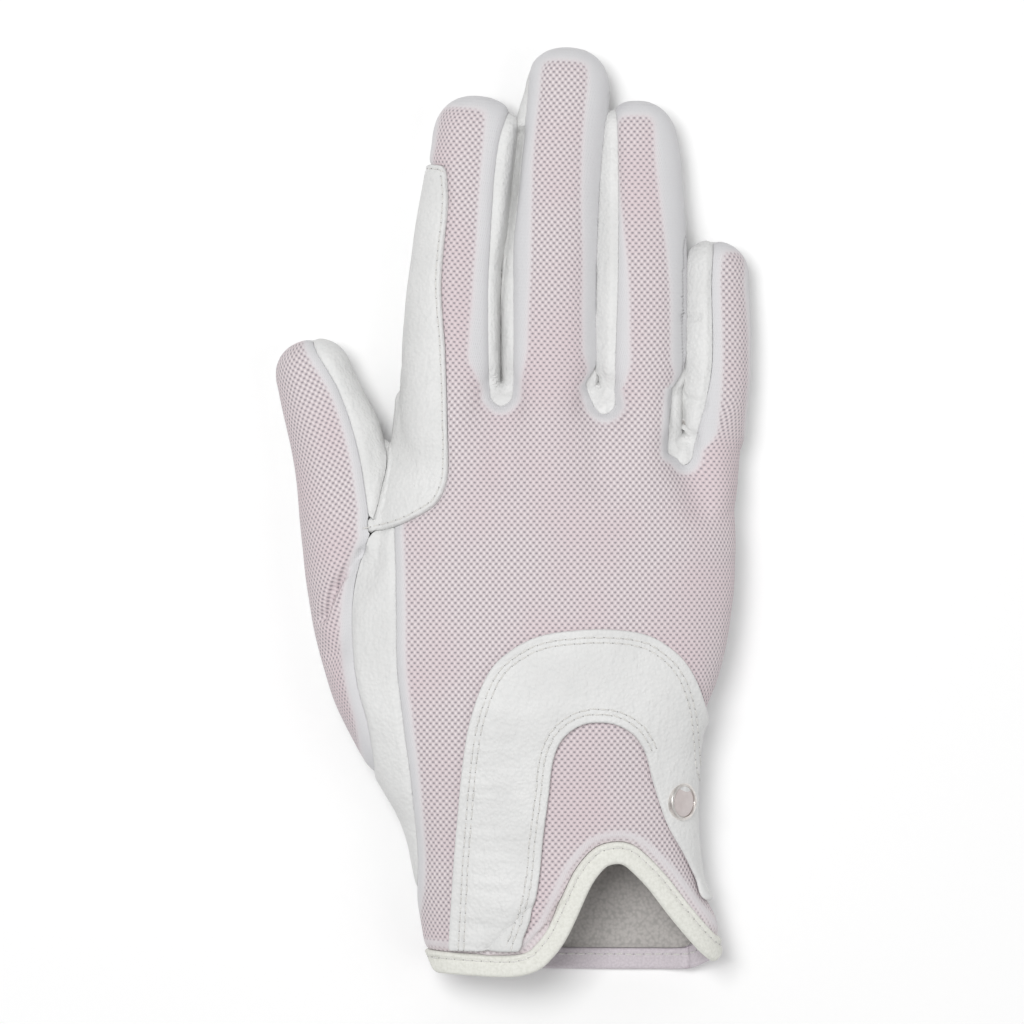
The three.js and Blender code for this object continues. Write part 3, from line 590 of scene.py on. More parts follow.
THUMB_FOLD = hand_line([MEETING_PLACE, (-0.87, 0.82), (-0.84, 0.885), (-0.86, 0.95), (-0.9, 1.14)])
WRAP_LEFT_EDGE = hand_line(
    [MEETING_PLACE, (-0.985, 0.7), (-1.025, 0.64), (-1.035, 0.57), (-1.0, 0.49), (-0.945, 0.42), (-0.925, 0.35)]
    + [(-0.96, 0.315)]
)
WRAP_RIGHT_EDGE = hand_line(
    [(-0.77, -0.02), (-0.73, 0.08), (-0.695, 0.16), (-0.695, 0.23), (-0.715, 0.32), (-0.755, 0.43), (-0.79, 0.53)]
    + [(-0.795, 0.65), (-0.81, 0.79)]
)
THUMB_HOLE = hand_line(
    [(-0.86, 0.93), (-0.74, 0.8), (-0.6, 0.68), (-0.56, 0.54), (-0.64, 0.42), (-0.8, 0.335), (-1.0, 0.29)]
)
PATCH_FINGER_EDGE = digit_line(
    "index",
    [(0.757, -1.4), (0.755, -0.82), (0.743, -0.66), (0.705, -0.56), (0.6, -0.44), (0.36, -0.38), (0.13, -0.17)],
)
PATCH_HAND_EDGE = hand_line(
    [(-0.52, 0.97), (-0.515, 0.87), (-0.535, 0.83), (-0.585, 0.802), (-0.68, 0.782), (-0.8, 0.765), MEETING_PLACE]
)
PATCH_OUTSIDE = (0.3, -1.8)
FINGER_SEAMS = {
    "index_right": digit_line("index", [(0.02, 0.85), (0.3, 0.69), (0.62, 0.58), (0.84, 0.6), (1.0, 0.85)]),
    "middle_left": digit_line("middle", [(0.02, -0.84), (0.2, -0.88), (0.45, -1.0), (0.84, -1.06), (1.0, -1.1)]),
    "middle_right": digit_line("middle", [(0.02, 0.86), (0.3, 0.92), (0.6, 0.95), (1.0, 1.0)]),
    "ring_left": digit_line("ring", [(0.0, -0.7), (0.2, -0.6), (0.45, -0.55), (0.82, -0.6), (1.03, -0.7)]),
    "ring_right": digit_line("ring", [(-0.2, 0.82), (-0.08, 0.82), (0.12, 0.9), (0.6, 0.95), (1.0, 1.0)]),
    "little_left": digit_line("little", [(0.05, -0.5), (0.25, -0.25), (0.45, -0.1), (0.8, -0.12), (1.04, -0.12)]),
}
Fourchette = namedtuple("Fourchette", "left right across along width finger")
FOURCHETTES = {
    "fourchette_index_middle": Fourchette("index_right", "middle_left", -0.235, 0.972, 0.1, None),
    "fourchette_middle_ring": Fourchette("middle_right", "ring_left", 0.316, 0.958, 0.1, "middle"),
    "fourchette_ring_little": Fourchette("ring_right", "little_left", 0.745, 0.87, 0.07, "ring"),
}
# On the far side of the finger on its left, a side panel's upper seam runs down from the web and under the finger
FarSeam = namedtuple("FarSeam", "along height")
FAR_SEAM = [
    FarSeam(-0.2, 26 * MM),
    FarSeam(0.0, 18 * MM),
    FarSeam(0.15, 12 * MM),
    FarSeam(0.35, 8.5 * MM),
    FarSeam(0.55, 6.4 * MM),
    FarSeam(0.6, 6.0 * MM),
]
WEB_ROUNDING = 0.05
BINDING_WIDTH = 5.4 * MM


def claimed_by(*fields):
    """The field of a panel that holds any of these shares of the skin and none that an earlier panel claimed."""
    own = np.minimum.reduce(fields)
    left = np.maximum.reduce([own] + [-claim for claim in claims])
    claims.append(own)
    return left


# Four panels meet at one place, where the patch covers their corners
MEETING_RISE = 1.6 * MM
MEETING_RADIUS = 0.8 * MM
MEETING_STRETCH = 2.6
meeting = on_hand(*MEETING_PLACE) + np.array([0.0, MEETING_RISE])
meeting_field = np.hypot(x - meeting[0], (y - meeting[1]) / MEETING_STRETCH) - MEETING_RADIUS
meeting_field = np.maximum(meeting_field, above_seam)

claims = [past_cuff]
binding_field = claimed_by(np.maximum(distance_to(NOTCH_LINE, x, y) - BINDING_WIDTH / 2, above_seam))
claims.append(np.maximum(below_notch, above_seam))
hem_field = claimed_by(np.maximum(distance_to(CUFF_EDGE, x, y) - BINDING_WIDTH, -above_seam))
thumb_outline = np.vstack(
    [corner(-FAR, THUMB_SEAM[0, 1]), THUMB_SEAM, WRAP_LEFT_EDGE[1:], corner(-FAR, WRAP_LEFT_EDGE[-1, 1])]
)
claims.append(meeting_field)
thumb_back_field = claimed_by(np.maximum(outside(thumb_outline, x, y), above_seam))
hole_ends = corner(THUMB_HOLE[0, 0], FAR), corner(-FAR, THUMB_HOLE[-1, 1])
thumb_hole = np.vstack([corner(-FAR, FAR), hole_ends[0], THUMB_HOLE, hole_ends[1]])
thumb_front_field = claimed_by(
    np.maximum(outside(np.vstack([THUMB_SEAM, THUMB_FOLD[1:]]), x, y), above_seam),
    np.maximum(outside(thumb_hole, x, y), -above_seam),
)
patch_outline = np.vstack(
    [PATCH_FINGER_EDGE, PATCH_HAND_EDGE, THUMB_FOLD[1:-1], on_digit("index", *PATCH_OUTSIDE)[None]]
)
patch_field = np.minimum(claimed_by(np.maximum(outside(patch_outline, x, y), above_seam)), meeting_field)
fourchette_fields = {}
for name, row in FOURCHETTES.items():
    web = [on_hand(row.across + s * row.width, row.along + s * s * WEB_ROUNDING) for s in np.linspace(-0.5, 0.5, 9)]
    outline = np.vstack([FINGER_SEAMS[row.left][::-1], web, FINGER_SEAMS[row.right]])
    own = np.maximum(outside(outline, x, y), above_seam)
    if row.finger:
        root, forward, _ = digit_axes(row.finger)
        along = (np.column_stack([x, y]) - root) @ forward / DIGITS[row.finger].length
        on_far_finger = (rank == FINGER_RANKS[row.finger]) & (along > 0)
        own = np.where(on_far_finger, np.maximum(own, z - column(FAR_SEAM, "height", along)), own)
    fourchette_fields[name] = claimed_by(own)
wrap_outline = np.vstack(
    [WRAP_LEFT_EDGE, corner(-HAND_WIDTH, WRAP_LEFT_EDGE[-1, 1]), corner(-HAND_WIDTH, WRAP_RIGHT_EDGE[0, 1])]
    + [WRAP_RIGHT_EDGE]
)
palm_field = claimed_by(-above_seam, np.maximum(outside(wrap_outline, x, y), above_seam))
back_field = claimed_by(above_seam)


def sliced(table, tris, level, snap=0.03 * MM):
    """The same faces with a row of points added where the last column of their points' table has one level."""
    side = table[:, -1] - level
    side = np.where(np.abs(side) < snap, 0, side)
    sign = np.sign(side)[tris]
    crossing = np.column_stack([sign[:, k] * sign[:, (k + 1) % 3] < 0 for k in range(3)])
    count = crossing.sum(1)
    if not count.any():
        return table, tris
    two, one = tris[count == 2], tris[count == 1]
    k = np.argmin(crossing[count == 2], 1)
    rows = np.arange(len(two))
    a, b, c = two[rows, (k + 2) % 3], two[rows, k], two[rows, (k + 1) % 3]
    k = np.argmax(crossing[count == 1], 1)
    rows = np.arange(len(one))
    tip, d, e = one[rows, (k + 2) % 3], one[rows, k], one[rows, (k + 1) % 3]
    ends = np.vstack([np.column_stack([a, b]), np.column_stack([a, c]), np.column_stack([d, e])])
    low, high = ends.min(1), ends.max(1)
    key, where = np.unique(low.astype(np.int64) * len(table) + high, return_inverse=True)
    first, second = key // len(table), key % len(table)
    share = side[first] / (side[first] - side[second])
    added = table[first] + (table[second] - table[first]) * share[:, None]
    added[:, -1] = level
    new = len(table) + where
    p, q, r = new[: len(two)], new[len(two) : 2 * len(two)], new[2 * len(two) :]
    parts = [tris[count == 0]]
    parts += [np.column_stack(part) for part in ((a, p, q), (p, b, c), (p, c, q), (tip, d, r), (tip, r, e))]
    return np.vstack([table, added]), np.vstack(parts)


EDGE_ROWS = (0.2 * MM, 0.5 * MM, 0.9 * MM, 1.5 * MM)
Panel = namedtuple("Panel", "points normals inside tris")


def cut_panel(field, rows=EDGE_ROWS, clearance=SEAM_CLEARANCE):
    """The part of the skin where a field is less than nothing, with extra rows of points beside its edge."""
    near = (field[skin_tris] < 0).any(1)
    table = np.column_stack([skin, normals, field])
    table, tris = sliced(table, skin_tris[near], -clearance)
    tris = tris[table[tris, -1].mean(1) < -clearance]
    for row in rows:
        table, tris = sliced(table, tris, -clearance - row)
    used, tris = np.unique(tris, return_inverse=True)
    table, tris = table[used], tris.reshape(-1, 3)
    outward = table[:, 3:6] / np.linalg.norm(table[:, 3:6], axis=1, keepdims=True)
    return Panel(table[:, :3], outward, -clearance - table[:, -1], tris)


def largest_part(panel):
    """A panel without crumbs that lie apart from it."""
    label = np.arange(len(panel.points))
    edges = np.vstack([panel.tris[:, [0, 1]], panel.tris[:, [1, 2]], panel.tris[:, [2, 0]]])
    while True:
        before = label.copy()
        np.minimum.at(label, edges[:, 0], label[edges[:, 1]])
        np.minimum.at(label, edges[:, 1], label[edges[:, 0]])
        label = label[label]
        if (label == before).all():
            break
    names, counts = np.unique(label, return_counts=True)
    tris = panel.tris[label[panel.tris[:, 0]] == names[counts.argmax()]]
    used, tris = np.unique(tris, return_inverse=True)
    return Panel(panel.points[used], panel.normals[used], panel.inside[used], tris.reshape(-1, 3))


WAVES = 14
WAVE_SPREAD = (0.7, 1.5)
WAVE_LEVEL = 5


def wrinkles(points, seed, wave, stretch=(1, 1, 1)):
    """A soft uneven pattern between -1 and 1 in space, from a few crossing waves of about one length."""
    rng = np.random.default_rng(seed)
    total = np.zeros(len(points))
    for _ in range(WAVES):
        way = rng.normal(size=3)
        way /= np.linalg.norm(way)
        turn = points @ (way * np.array(stretch)) * 2 * math.pi / (wave * rng.uniform(*WAVE_SPREAD))
        total += np.sin(turn + rng.uniform(0, 2 * math.pi))
    return total / WAVE_LEVEL


PANEL_CORNER = math.radians(60)


def sewn(name, panel, outer, inner, outer_finish, inner_finish, attributes=()):
    """A panel as a closed piece: its face and its back lie so far out along the skin's normals, joined at its edge."""
    count = len(panel.points)
    face = panel.points + panel.normals * np.broadcast_to(outer, count)[:, None]
    back = panel.points + panel.normals * np.broadcast_to(inner, count)[:, None]
    tris = panel.tris
    ends = np.vstack([tris[:, [0, 1]], tris[:, [1, 2]], tris[:, [2, 0]]])
    keys = ends[:, 0].astype(np.int64) * count + ends[:, 1]
    opposite = ends[:, 1].astype(np.int64) * count + ends[:, 0]
    rim = ends[~np.isin(keys, opposite)]
    wall = np.vstack(
        [
            np.column_stack([rim[:, 1], rim[:, 0], rim[:, 0] + count]),
            np.column_stack([rim[:, 1], rim[:, 0] + count, rim[:, 1] + count]),
        ]
    )
    faces = np.vstack([tris, tris[:, ::-1] + count, wall])
    mesh = bpy.data.meshes.new(name)
    mesh.vertices.add(2 * count)
    mesh.vertices.foreach_set("co", np.vstack([face, back]).astype(np.float32).ravel())
    mesh.loops.add(faces.size)
    mesh.loops.foreach_set("vertex_index", faces.astype(np.int32).ravel())
    mesh.polygons.add(len(faces))
    mesh.polygons.foreach_set("loop_start", np.arange(0, faces.size, 3, dtype=np.int32))
    mesh.polygons.foreach_set("use_smooth", np.ones(len(faces), bool))
    for finish in (outer_finish, inner_finish):
        mesh.materials.append(finish)
    kind = np.concatenate([np.zeros(len(tris)), np.ones(len(tris)), np.zeros(len(wall))]).astype(np.int32)
    mesh.polygons.foreach_set("material_index", kind)
    mesh.update(calc_edges=True)
    for title, values in attributes:
        layer = mesh.attributes.new(title, "FLOAT", "POINT")
        layer.data.foreach_set("value", np.tile(values, 2).astype(np.float32))
    mesh.validate()
    mesh.set_sharp_from_angle(angle=PANEL_CORNER)
    piece = bpy.data.objects.new(name, mesh)
    bpy.context.scene.collection.objects.link(piece)
    return piece


# The knit. Mesh on a pale lining, cut as one panel for the back of the hand and the four fingers and another for the
# back of the thumb. It is knitted in rows of small round holes, each half a step aside of the next, and left plain in
# a band along its seams. It is sewn to the leather all round.
class Wire:
    """One value in a finish. Sums, differences and products of wires add their Math nodes."""

    def __init__(self, finish, socket):
        self.finish, self.socket = finish, socket

    def maths(self, operation, *values):
        return self.finish.node("ShaderNodeMath", {"operation": operation}, dict(enumerate(values)))

    def __add__(self, other):
        return self.maths("ADD", self, other)

    __radd__ = __add__

    def __sub__(self, other):
        return self.maths("SUBTRACT", self, other)

    def __rsub__(self, other):
        return self.maths("SUBTRACT", other, self)

    def __mul__(self, other):
        return self.maths("MULTIPLY", self, other)

    __rmul__ = __mul__

    def cosine(self):
        return self.maths("COSINE", self)

    def step(self, low, high):
        """0 below low, 1 above high, smooth between."""
        settings = {"interpolation_type": "SMOOTHSTEP"}
        return self.finish.node("ShaderNodeMapRange", settings, {"Value": self, "From Min": low, "From Max": high})


class Finish:
    """A material whose nodes are added one at a time in front of its shader."""

    def __init__(self, name, **constants):
        self.material = bpy.data.materials.new(name)
        self.material.use_nodes = True
        self.tree = self.material.node_tree
        self.shader = self.tree.nodes["Principled BSDF"]
        for socket, value in constants.items():
            self.shader.inputs[socket.replace("_", " ").title()].default_value = value
        self.place = self.node("ShaderNodeTexCoord", output="Object")

    def plug(self, slot, value):
        """Gives a socket a wire or a plain value."""
        if isinstance(value, Wire):
            self.tree.links.new(value.socket, slot)
        else:
            slot.default_value = value

    def node(self, kind, settings=(), sockets=(), output=0):
        """Adds a node with its settings and its sockets' values, and gives one of its outputs."""
        node = self.tree.nodes.new(kind)
        for key, value in dict(settings).items():
            setattr(node, key, value)
        for key, value in dict(sockets).items():
            self.plug(node.inputs[key], value)
        return Wire(self, node.outputs[output])

    def noise(self, scale, detail=2.0, place=None, roughness=0.5):
        """An uneven pattern, with its coarsest lumps as many to the metre as scale says."""
        sockets = {"Vector": place or self.place, "Scale": scale, "Detail": detail, "Roughness": roughness}
        return self.node("ShaderNodeTexNoise", {}, sockets)

    def stretched(self, x, y, z):
        """Places drawn together or apart along each axis, for a pattern with a direction."""
        return self.node("ShaderNodeMapping", {}, {"Vector": self.place, "Scale": (x, y, z)})

    def blend(self, share, first, second):
        """A colour between two."""
        return self.node("ShaderNodeMix", {"data_type": "RGBA"}, {0: share, 6: first, 7: second}, output=2)

    def attribute(self, name):
        """A number kept on the piece's points."""
        return self.node("ShaderNodeAttribute", {"attribute_name": name}, output="Fac")

    def bump(self, height, distance, below=None):
        """A bumped normal, on top of another one where below gives it."""
        sockets = {"Strength": 1.0, "Distance": distance, "Height": height}
        if below:
            sockets["Normal"] = below
        return self.node("ShaderNodeBump", {}, sockets)

    def feed(self, socket, wire):
        self.plug(self.shader.inputs[socket], wire)


def shade(red, green, blue):
    """A colour as seen, 0 to 255, in the light's own measure."""
    seen = np.array([red, green, blue]) / 255
    return tuple(np.where(seen <= 0.04045, seen / 12.92, ((seen + 0.055) / 1.055) ** 2.4)) + (1.0,)


DOT_PITCH = 1.5 * MM
DOT_ROW = 0.85 * MM
KNIT_RELIEF = 0.12 * MM
DRIFT = 0.5 * MM
DRIFTS_PER_METRE, FUZZ_PER_METRE, BLUSHES_PER_METRE = 160.0, 5200.0, 38.0

knit = Finish("knit", Roughness=0.86, sheen_weight=0.12, sheen_roughness=0.4)
cloth = knit.node("ShaderNodeUVMap", {"uv_map": "cloth"})
drift = knit.noise(DRIFTS_PER_METRE, 1.0)
u = knit.node("ShaderNodeSeparateXYZ", {}, {"Vector": cloth}, output="X")
v = Wire(knit, u.socket.node.outputs["Y"])
u = u + (drift - 0.5) * DRIFT
across = (u * (2 * math.pi / DOT_PITCH)).cosine()
down = (v * (math.pi / DOT_ROW)).cosine()
dots = knit.attribute("dots")
hole = (across * down - 0.6 * (1.0 - down * down)).step(0.05, 0.9) * dots.step(0.3, 0.75)
lattice = (across * down).step(-0.95, 0.35) * dots.step(0.2, 0.8)
threads = (u * (2 * math.pi / (DOT_PITCH / 3)) + v * (math.pi / DOT_ROW)).cosine()
threads = threads + (u * (2 * math.pi / (DOT_PITCH / 3)) - v * (math.pi / DOT_ROW)).cosine()
fuzz = knit.noise(FUZZ_PER_METRE, 3.0)
blush = knit.noise(BLUSHES_PER_METRE, 2.0).step(0.35, 0.72) * dots
ground = knit.blend(dots, shade(219, 219, 221), shade(237, 228, 230))
ground = knit.blend(lattice, ground, shade(207, 195, 198))
ground = knit.blend(blush * 0.5, ground, shade(221, 200, 205))
ground = knit.blend((fuzz - 0.35) * 0.5, ground, shade(198, 192, 195))
knit.feed("Base Color", knit.blend(hole, ground, shade(158, 151, 158)))
knit.feed("Roughness", 0.8 + hole * 0.15)
knit.feed("Normal", knit.bump(threads * 0.14 + fuzz * 0.3 - hole - lattice * 0.6, KNIT_RELIEF))

WEAVE_PER_METRE = 2400.0
WEAVE_DEPTH = 0.1 * MM
lining = Finish("lining", Roughness=0.92)
weave = lining.noise(WEAVE_PER_METRE, 2.0)
lining.feed("Base Color", lining.blend(weave.step(0.3, 0.7), shade(188, 184, 184), shade(210, 206, 205)))
lining.feed("Normal", lining.bump(weave, WEAVE_DEPTH))

# Where each digit's holes begin and end: on its left and right at the root's side and the tip's, as shares of half
# its width, and at the tip as a share of its length
DotLimit = namedtuple("DotLimit", "left_low left_high right_low right_high top")
DOT_LIMITS = {
    "index": DotLimit(-1.5, -0.93, 0.3, 0.19, 0.955),
    "middle": DotLimit(-0.49, -0.69, 0.71, 0.5, 0.959),
    "ring": DotLimit(-0.22, -0.6, 0.76, 0.47, 0.949),
    "little": DotLimit(0.27, 0.2, 1.1, 1.0, 0.96),
}
PLAIN_BAND = 2.6 * MM
DOT_EDGE = 1.5 * MM
DOT_CORNER = 1.2 * MM


def digit_shares(name, plan):
    """Places' shares along a digit and aside of its middle."""
    digit, rows = DIGITS[name], DIGIT_SECTIONS[name]
    root, forward, right = digit_axes(name)
    along = (plan - root) @ forward / digit.length
    half = column(rows, "width", along) * digit.width / 2
    return along, ((plan - root) @ right - column(rows, "aside", along) * digit.width) / half, half


def nearest_digit(plan, names):
    """Which digit each place is on or nearest to, as its number in the list."""
    far = []
    for name in names:
        along, aside, _ = digit_shares(name, plan)
        far.append(np.abs(aside) + 10 * np.maximum(along - 1, 0))
    return np.argmin(far, axis=0)


def dotted(panel):
    """1 where the knit has its holes, 0 in the plain bands."""
    plan = panel.points[:, :2]
    covered = [np.vstack([PATCH_FINGER_EDGE, PATCH_HAND_EDGE]), NOTCH_LINE]
    beside = np.minimum.reduce([distance_to(line, *plan.T) for line in covered])
    inward = panel.inside - PLAIN_BAND * ease(PLAIN_BAND, 2 * PLAIN_BAND, beside)
    inward = np.minimum(inward, distance_to(WRAP_RIGHT_EDGE, *plan.T) - PLAIN_BAND)
    nearest = nearest_digit(plan, list(DOT_LIMITS))
    for number, (name, limit) in enumerate(DOT_LIMITS.items()):
        along, aside, half = digit_shares(name, plan)
        here = (along > 0) & (nearest == number)
        climb = ease(0.3, 0.85, along)
        left = limit.left_low + (limit.left_high - limit.left_low) * climb
        right = limit.right_low + (limit.right_high - limit.right_low) * climb
        root_band = ease(0.0, 0.12, along)
        sides = np.minimum(aside - left, right - aside) * half
        end = (limit.top - along) * DIGITS[name].length
        sides = sides * root_band + inward * (1 - root_band)
        own = -DOT_CORNER * np.logaddexp(-sides / DOT_CORNER, -end / DOT_CORNER)
        inward = np.where(here, np.minimum(own, inward + PLAIN_BAND), inward)
    return ease(-DOT_EDGE, DOT_EDGE, inward)


ROOT_BLEND = 14 * MM
DIGIT_CROWN = 2 * MM
HAND_CROWN = 6 * MM
HAND_TOP = 26 * MM


def way_down(top, height, crown):
    """How much longer the way over a crowned side is than its plan, at a height below the top."""
    drop = np.maximum(top - height, 0)
    return drop**2 / (drop + crown)


def laid_flat(panel, digits):
    """A flat pattern of a panel in metres, with the knit's rows straight across the hand and across each digit."""
    plan, height = panel.points[:, :2], panel.points[:, 2]
    aside = (plan[:, 0] - HAND_ORIGIN[0]) / (HAND_WIDTH / 2)
    pattern = plan.copy()
    pattern[:, 0] += aside * way_down(HAND_TOP, height, HAND_CROWN)
    nearest = nearest_digit(plan, digits)
    for number, name in enumerate(digits):
        digit, rows = DIGITS[name], DIGIT_SECTIONS[name]
        along, aside, half = digit_shares(name, plan)
        root, _, _ = digit_axes(name)
        top = (column(rows, "lift", along) + column(rows, "height", along)) * digit.height
        side = aside * half + np.clip(2 * aside, -1, 1) * way_down(top, height, DIGIT_CROWN)
        own = np.column_stack([root[0] + side, root[1] + along * digit.length])
        share = ease(0, ROOT_BLEND, along * digit.length) * (nearest == number)
        if name == "thumb":
            share = np.ones(len(plan))
        pattern += (own - pattern) * share[:, None]
    return pattern


def pattern_on(piece, pattern):
    """Keeps a flat pattern on a piece as its UV map."""
    mesh = piece.data
    corners = np.empty(len(mesh.loops), np.int32)
    mesh.loops.foreach_get("vertex_index", corners)
    layer = mesh.uv_layers.new(name="cloth")
    layer.uv.foreach_set("vector", np.tile(pattern, (2, 1))[corners].astype(np.float32).ravel())


MEETING_CALM = 3 * MM
MEETING_ROLL = 0.25


def rolled(panel, dip, reach):
    """How a panel's edge rolls in towards its seam, and less so where four panels meet."""
    away = np.hypot(*(panel.points[:, :2] - on_hand(*MEETING_PLACE)).T)
    calm = MEETING_ROLL + (1 - MEETING_ROLL) * ease(0, MEETING_CALM, away)
    return -dip * (1 - np.clip(panel.inside / reach, 0, 1)) ** 2 * calm


def on_glove(piece, slot, *nodes):
    """A finished piece: it rides on the glove and stands for its solids, which it hides; its slot is not used."""
    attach(piece, "root")
    if nodes:
        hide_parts(*nodes)
    return piece


KNIT_ROLL = 0.75 * MM
KNIT_ROLL_REACH = 2.2 * MM
SOFTNESS = 0.09 * MM
SOFT_WAVE = 17 * MM
SOFT_SEED = 3


def unevenness(panel):
    """The gentle unevenness of soft panels, from one pattern so that neighbours still meet."""
    return SOFTNESS * wrinkles(panel.points, SOFT_SEED, SOFT_WAVE)


knit_panels = {"back_panel": (back_field, tuple(FINGER_RANKS)), "thumb_back": (thumb_back_field, ("thumb",))}
pieces = {}
for name, (field, digits) in knit_panels.items():
    panel = largest_part(cut_panel(field))
    roll = rolled(panel, KNIT_ROLL, KNIT_ROLL_REACH) + unevenness(panel)
    holes = dotted(panel) if name == "back_panel" else ease(-DOT_EDGE, DOT_EDGE, panel.inside - PLAIN_BAND)
    piece = sewn(name + "_knit", panel, roll, roll - WALL, knit.material, lining.material, [("dots", holes)])
    pattern_on(piece, laid_flat(panel, digits))
    pieces[name] = on_glove(piece, "mesh", name)

# The leather. Pebbled synthetic leather makes the palm with the fingers' fronts and the strip that wraps onto the
# back below the thumb, the front of the thumb, and the side panels that run down one finger, round the web and up the
# next. Its edges are turned in and sewn.
PEBBLES_PER_METRE, CREASES_PER_METRE, SPECKS_PER_METRE, TONES_PER_METRE = 1150.0, 420.0, 3600.0, 60.0
PEBBLE_DEPTH, CREASE_DEPTH = 0.16 * MM, 0.34 * MM
leather = Finish("leather", Roughness=0.56)
pebbles = leather.node(
    "ShaderNodeTexVoronoi",
    {"feature": "SMOOTH_F1"},
    {"Vector": leather.place, "Scale": PEBBLES_PER_METRE, "Smoothness": 0.5},
)
creases = leather.noise(CREASES_PER_METRE, 4.0, leather.stretched(1.0, 0.45, 1.0), 0.6)
fine = leather.noise(SPECKS_PER_METRE, 2.0)
tone = leather.noise(TONES_PER_METRE, 3.0).step(0.3, 0.75)
colour = leather.blend(tone, shade(228, 228, 227), shade(220, 220, 219))
colour = leather.blend(pebbles.step(0.35, 0.8) * 0.3, colour, shade(216, 217, 217))
leather.feed("Base Color", colour)
leather.feed("Roughness", 0.5 + tone * 0.1 + fine * 0.08)
grain = leather.bump(creases, CREASE_DEPTH)
leather.feed("Normal", leather.bump(pebbles * -1.0 + fine * 0.3, PEBBLE_DEPTH, grain))

NAP_PER_METRE = 1500.0
NAP_DEPTH = 0.12 * MM
raw_side = Finish("raw_side", Roughness=0.8)
nap = raw_side.node(
    "ShaderNodeTexVoronoi", {"feature": "SMOOTH_F1"}, {"Vector": raw_side.place, "Scale": NAP_PER_METRE}
)
raw_side.feed("Base Color", raw_side.blend(nap.step(0.2, 0.8), shade(192, 188, 185), shade(170, 167, 164)))
raw_side.feed("Normal", raw_side.bump(nap * -1.0, NAP_DEPTH))

LEATHER_ROLL = 0.7 * MM
LEATHER_ROLL_REACH = 1.8 * MM
FOURCHETTE_PUFF = 0.35 * MM
leather_panels = {"palm_panel": palm_field, "thumb_front": thumb_front_field, **fourchette_fields}
for name, field in leather_panels.items():
    panel = largest_part(cut_panel(field))
    lift = rolled(panel, LEATHER_ROLL, LEATHER_ROLL_REACH) + unevenness(panel)
    if name in fourchette_fields:
        lift += FOURCHETTE_PUFF * ease(0, LEATHER_ROLL_REACH, panel.inside)
    piece = sewn(name + "_leather", panel, lift, lift - WALL, leather.material, raw_side.material)
    pieces[name] = on_glove(piece, "leather", name)

# The rein finger's patch, a second thickness of the same leather laid over the side of the finger that the rein runs
# against, with one row of stitches just inside its edge
PATCH_RELIEF = 0.5 * MM
PATCH_EDGE = 0.7 * MM
STITCH_ROW = 1.2 * MM
STITCH_DIP = 0.16 * MM
STITCH_DIP_REACH = 0.45 * MM


def stitch_dip(distance):
    """How far a row of stitches draws the leather down at a distance from it."""
    return -STITCH_DIP * np.exp(-((distance / STITCH_DIP_REACH) ** 2))


def rounded(inside, radius):
    """The rise of a round edge, from 0 on the edge to 1 a radius inside it."""
    t = np.clip(inside / radius, 0, 1)
    return np.sqrt(t * (2 - t))


PATCH_EDGE_ROWS = (0.08 * MM, 0.2 * MM, 0.4 * MM, 0.7 * MM, 1.2 * MM, 1.7 * MM)
panel = largest_part(cut_panel(patch_field, PATCH_EDGE_ROWS))
lift = (PATCH_RELIEF + KNIT_ROLL) * rounded(panel.inside, PATCH_EDGE) - KNIT_ROLL
lift += stitch_dip(panel.inside - STITCH_ROW) + unevenness(panel)
piece = sewn("index_patch_leather", panel, lift, np.minimum(lift, 0) - WALL, leather.material, lining.material)
pieces["index_patch"] = on_glove(piece, "leather", "index_patch")

# The wrist strap, a horseshoe of thick leather. Its left leg and its top are sewn down with two rows of stitches, and
# its right leg is loose, lies round the little finger's side of the wrist and carries the press stud.
STRAP_THICKNESS = 1.4 * MM
STRAP_GAP = 0.3 * MM
STRAP_WRAP_HEIGHT = 9 * MM
STRAP_EDGE = 0.55 * MM
STRAP_ROWS = (1.95 * MM, 3.2 * MM)
STRAP_OUTER_EDGE = hand_line(
    [(-0.503, 0.045), (-0.482, 0.175), (-0.466, 0.25), (-0.434, 0.367), (-0.39, 0.445), (-0.3, 0.518)]
    + [(-0.177, 0.557), (-0.02, 0.581), (0.187, 0.59), (0.375, 0.59), (0.535, 0.581), (0.65, 0.56), (0.735, 0.533)]
    + [(0.798, 0.495), (0.84, 0.447), (0.858, 0.4), (0.875, 0.355), (0.93, 0.315), (1.05, 0.3)]
)
STRAP_INNER_EDGE = hand_line(
    [(1.05, 0.12), (0.84, 0.125), (0.781, 0.166), (0.717, 0.209), (0.632, 0.261), (0.562, 0.329), (0.519, 0.381)]
    + [(0.46, 0.412), (0.375, 0.429), (0.29, 0.434), (0.2, 0.431), (0.125, 0.418), (0.072, 0.398), (0.037, 0.365)]
    + [(0.018, 0.312), (-0.011, 0.24), (-0.037, 0.158), (-0.08, 0.1), (-0.1445, 0.045)]
)
strap_outline = np.vstack([STRAP_OUTER_EDGE, STRAP_INNER_EDGE])
strap_field = np.maximum.reduce([outside(strap_outline, x, y), STRAP_WRAP_HEIGHT - z, -past_cuff])


def inset_line(line, inset):
    """A line drawn again to one side of itself, to the right of the way it runs where inset is more than nothing."""
    run = np.gradient(line, axis=0)
    run /= np.linalg.norm(run, axis=1, keepdims=True)
    return line + np.column_stack([run[:, 1], -run[:, 0]]) * inset


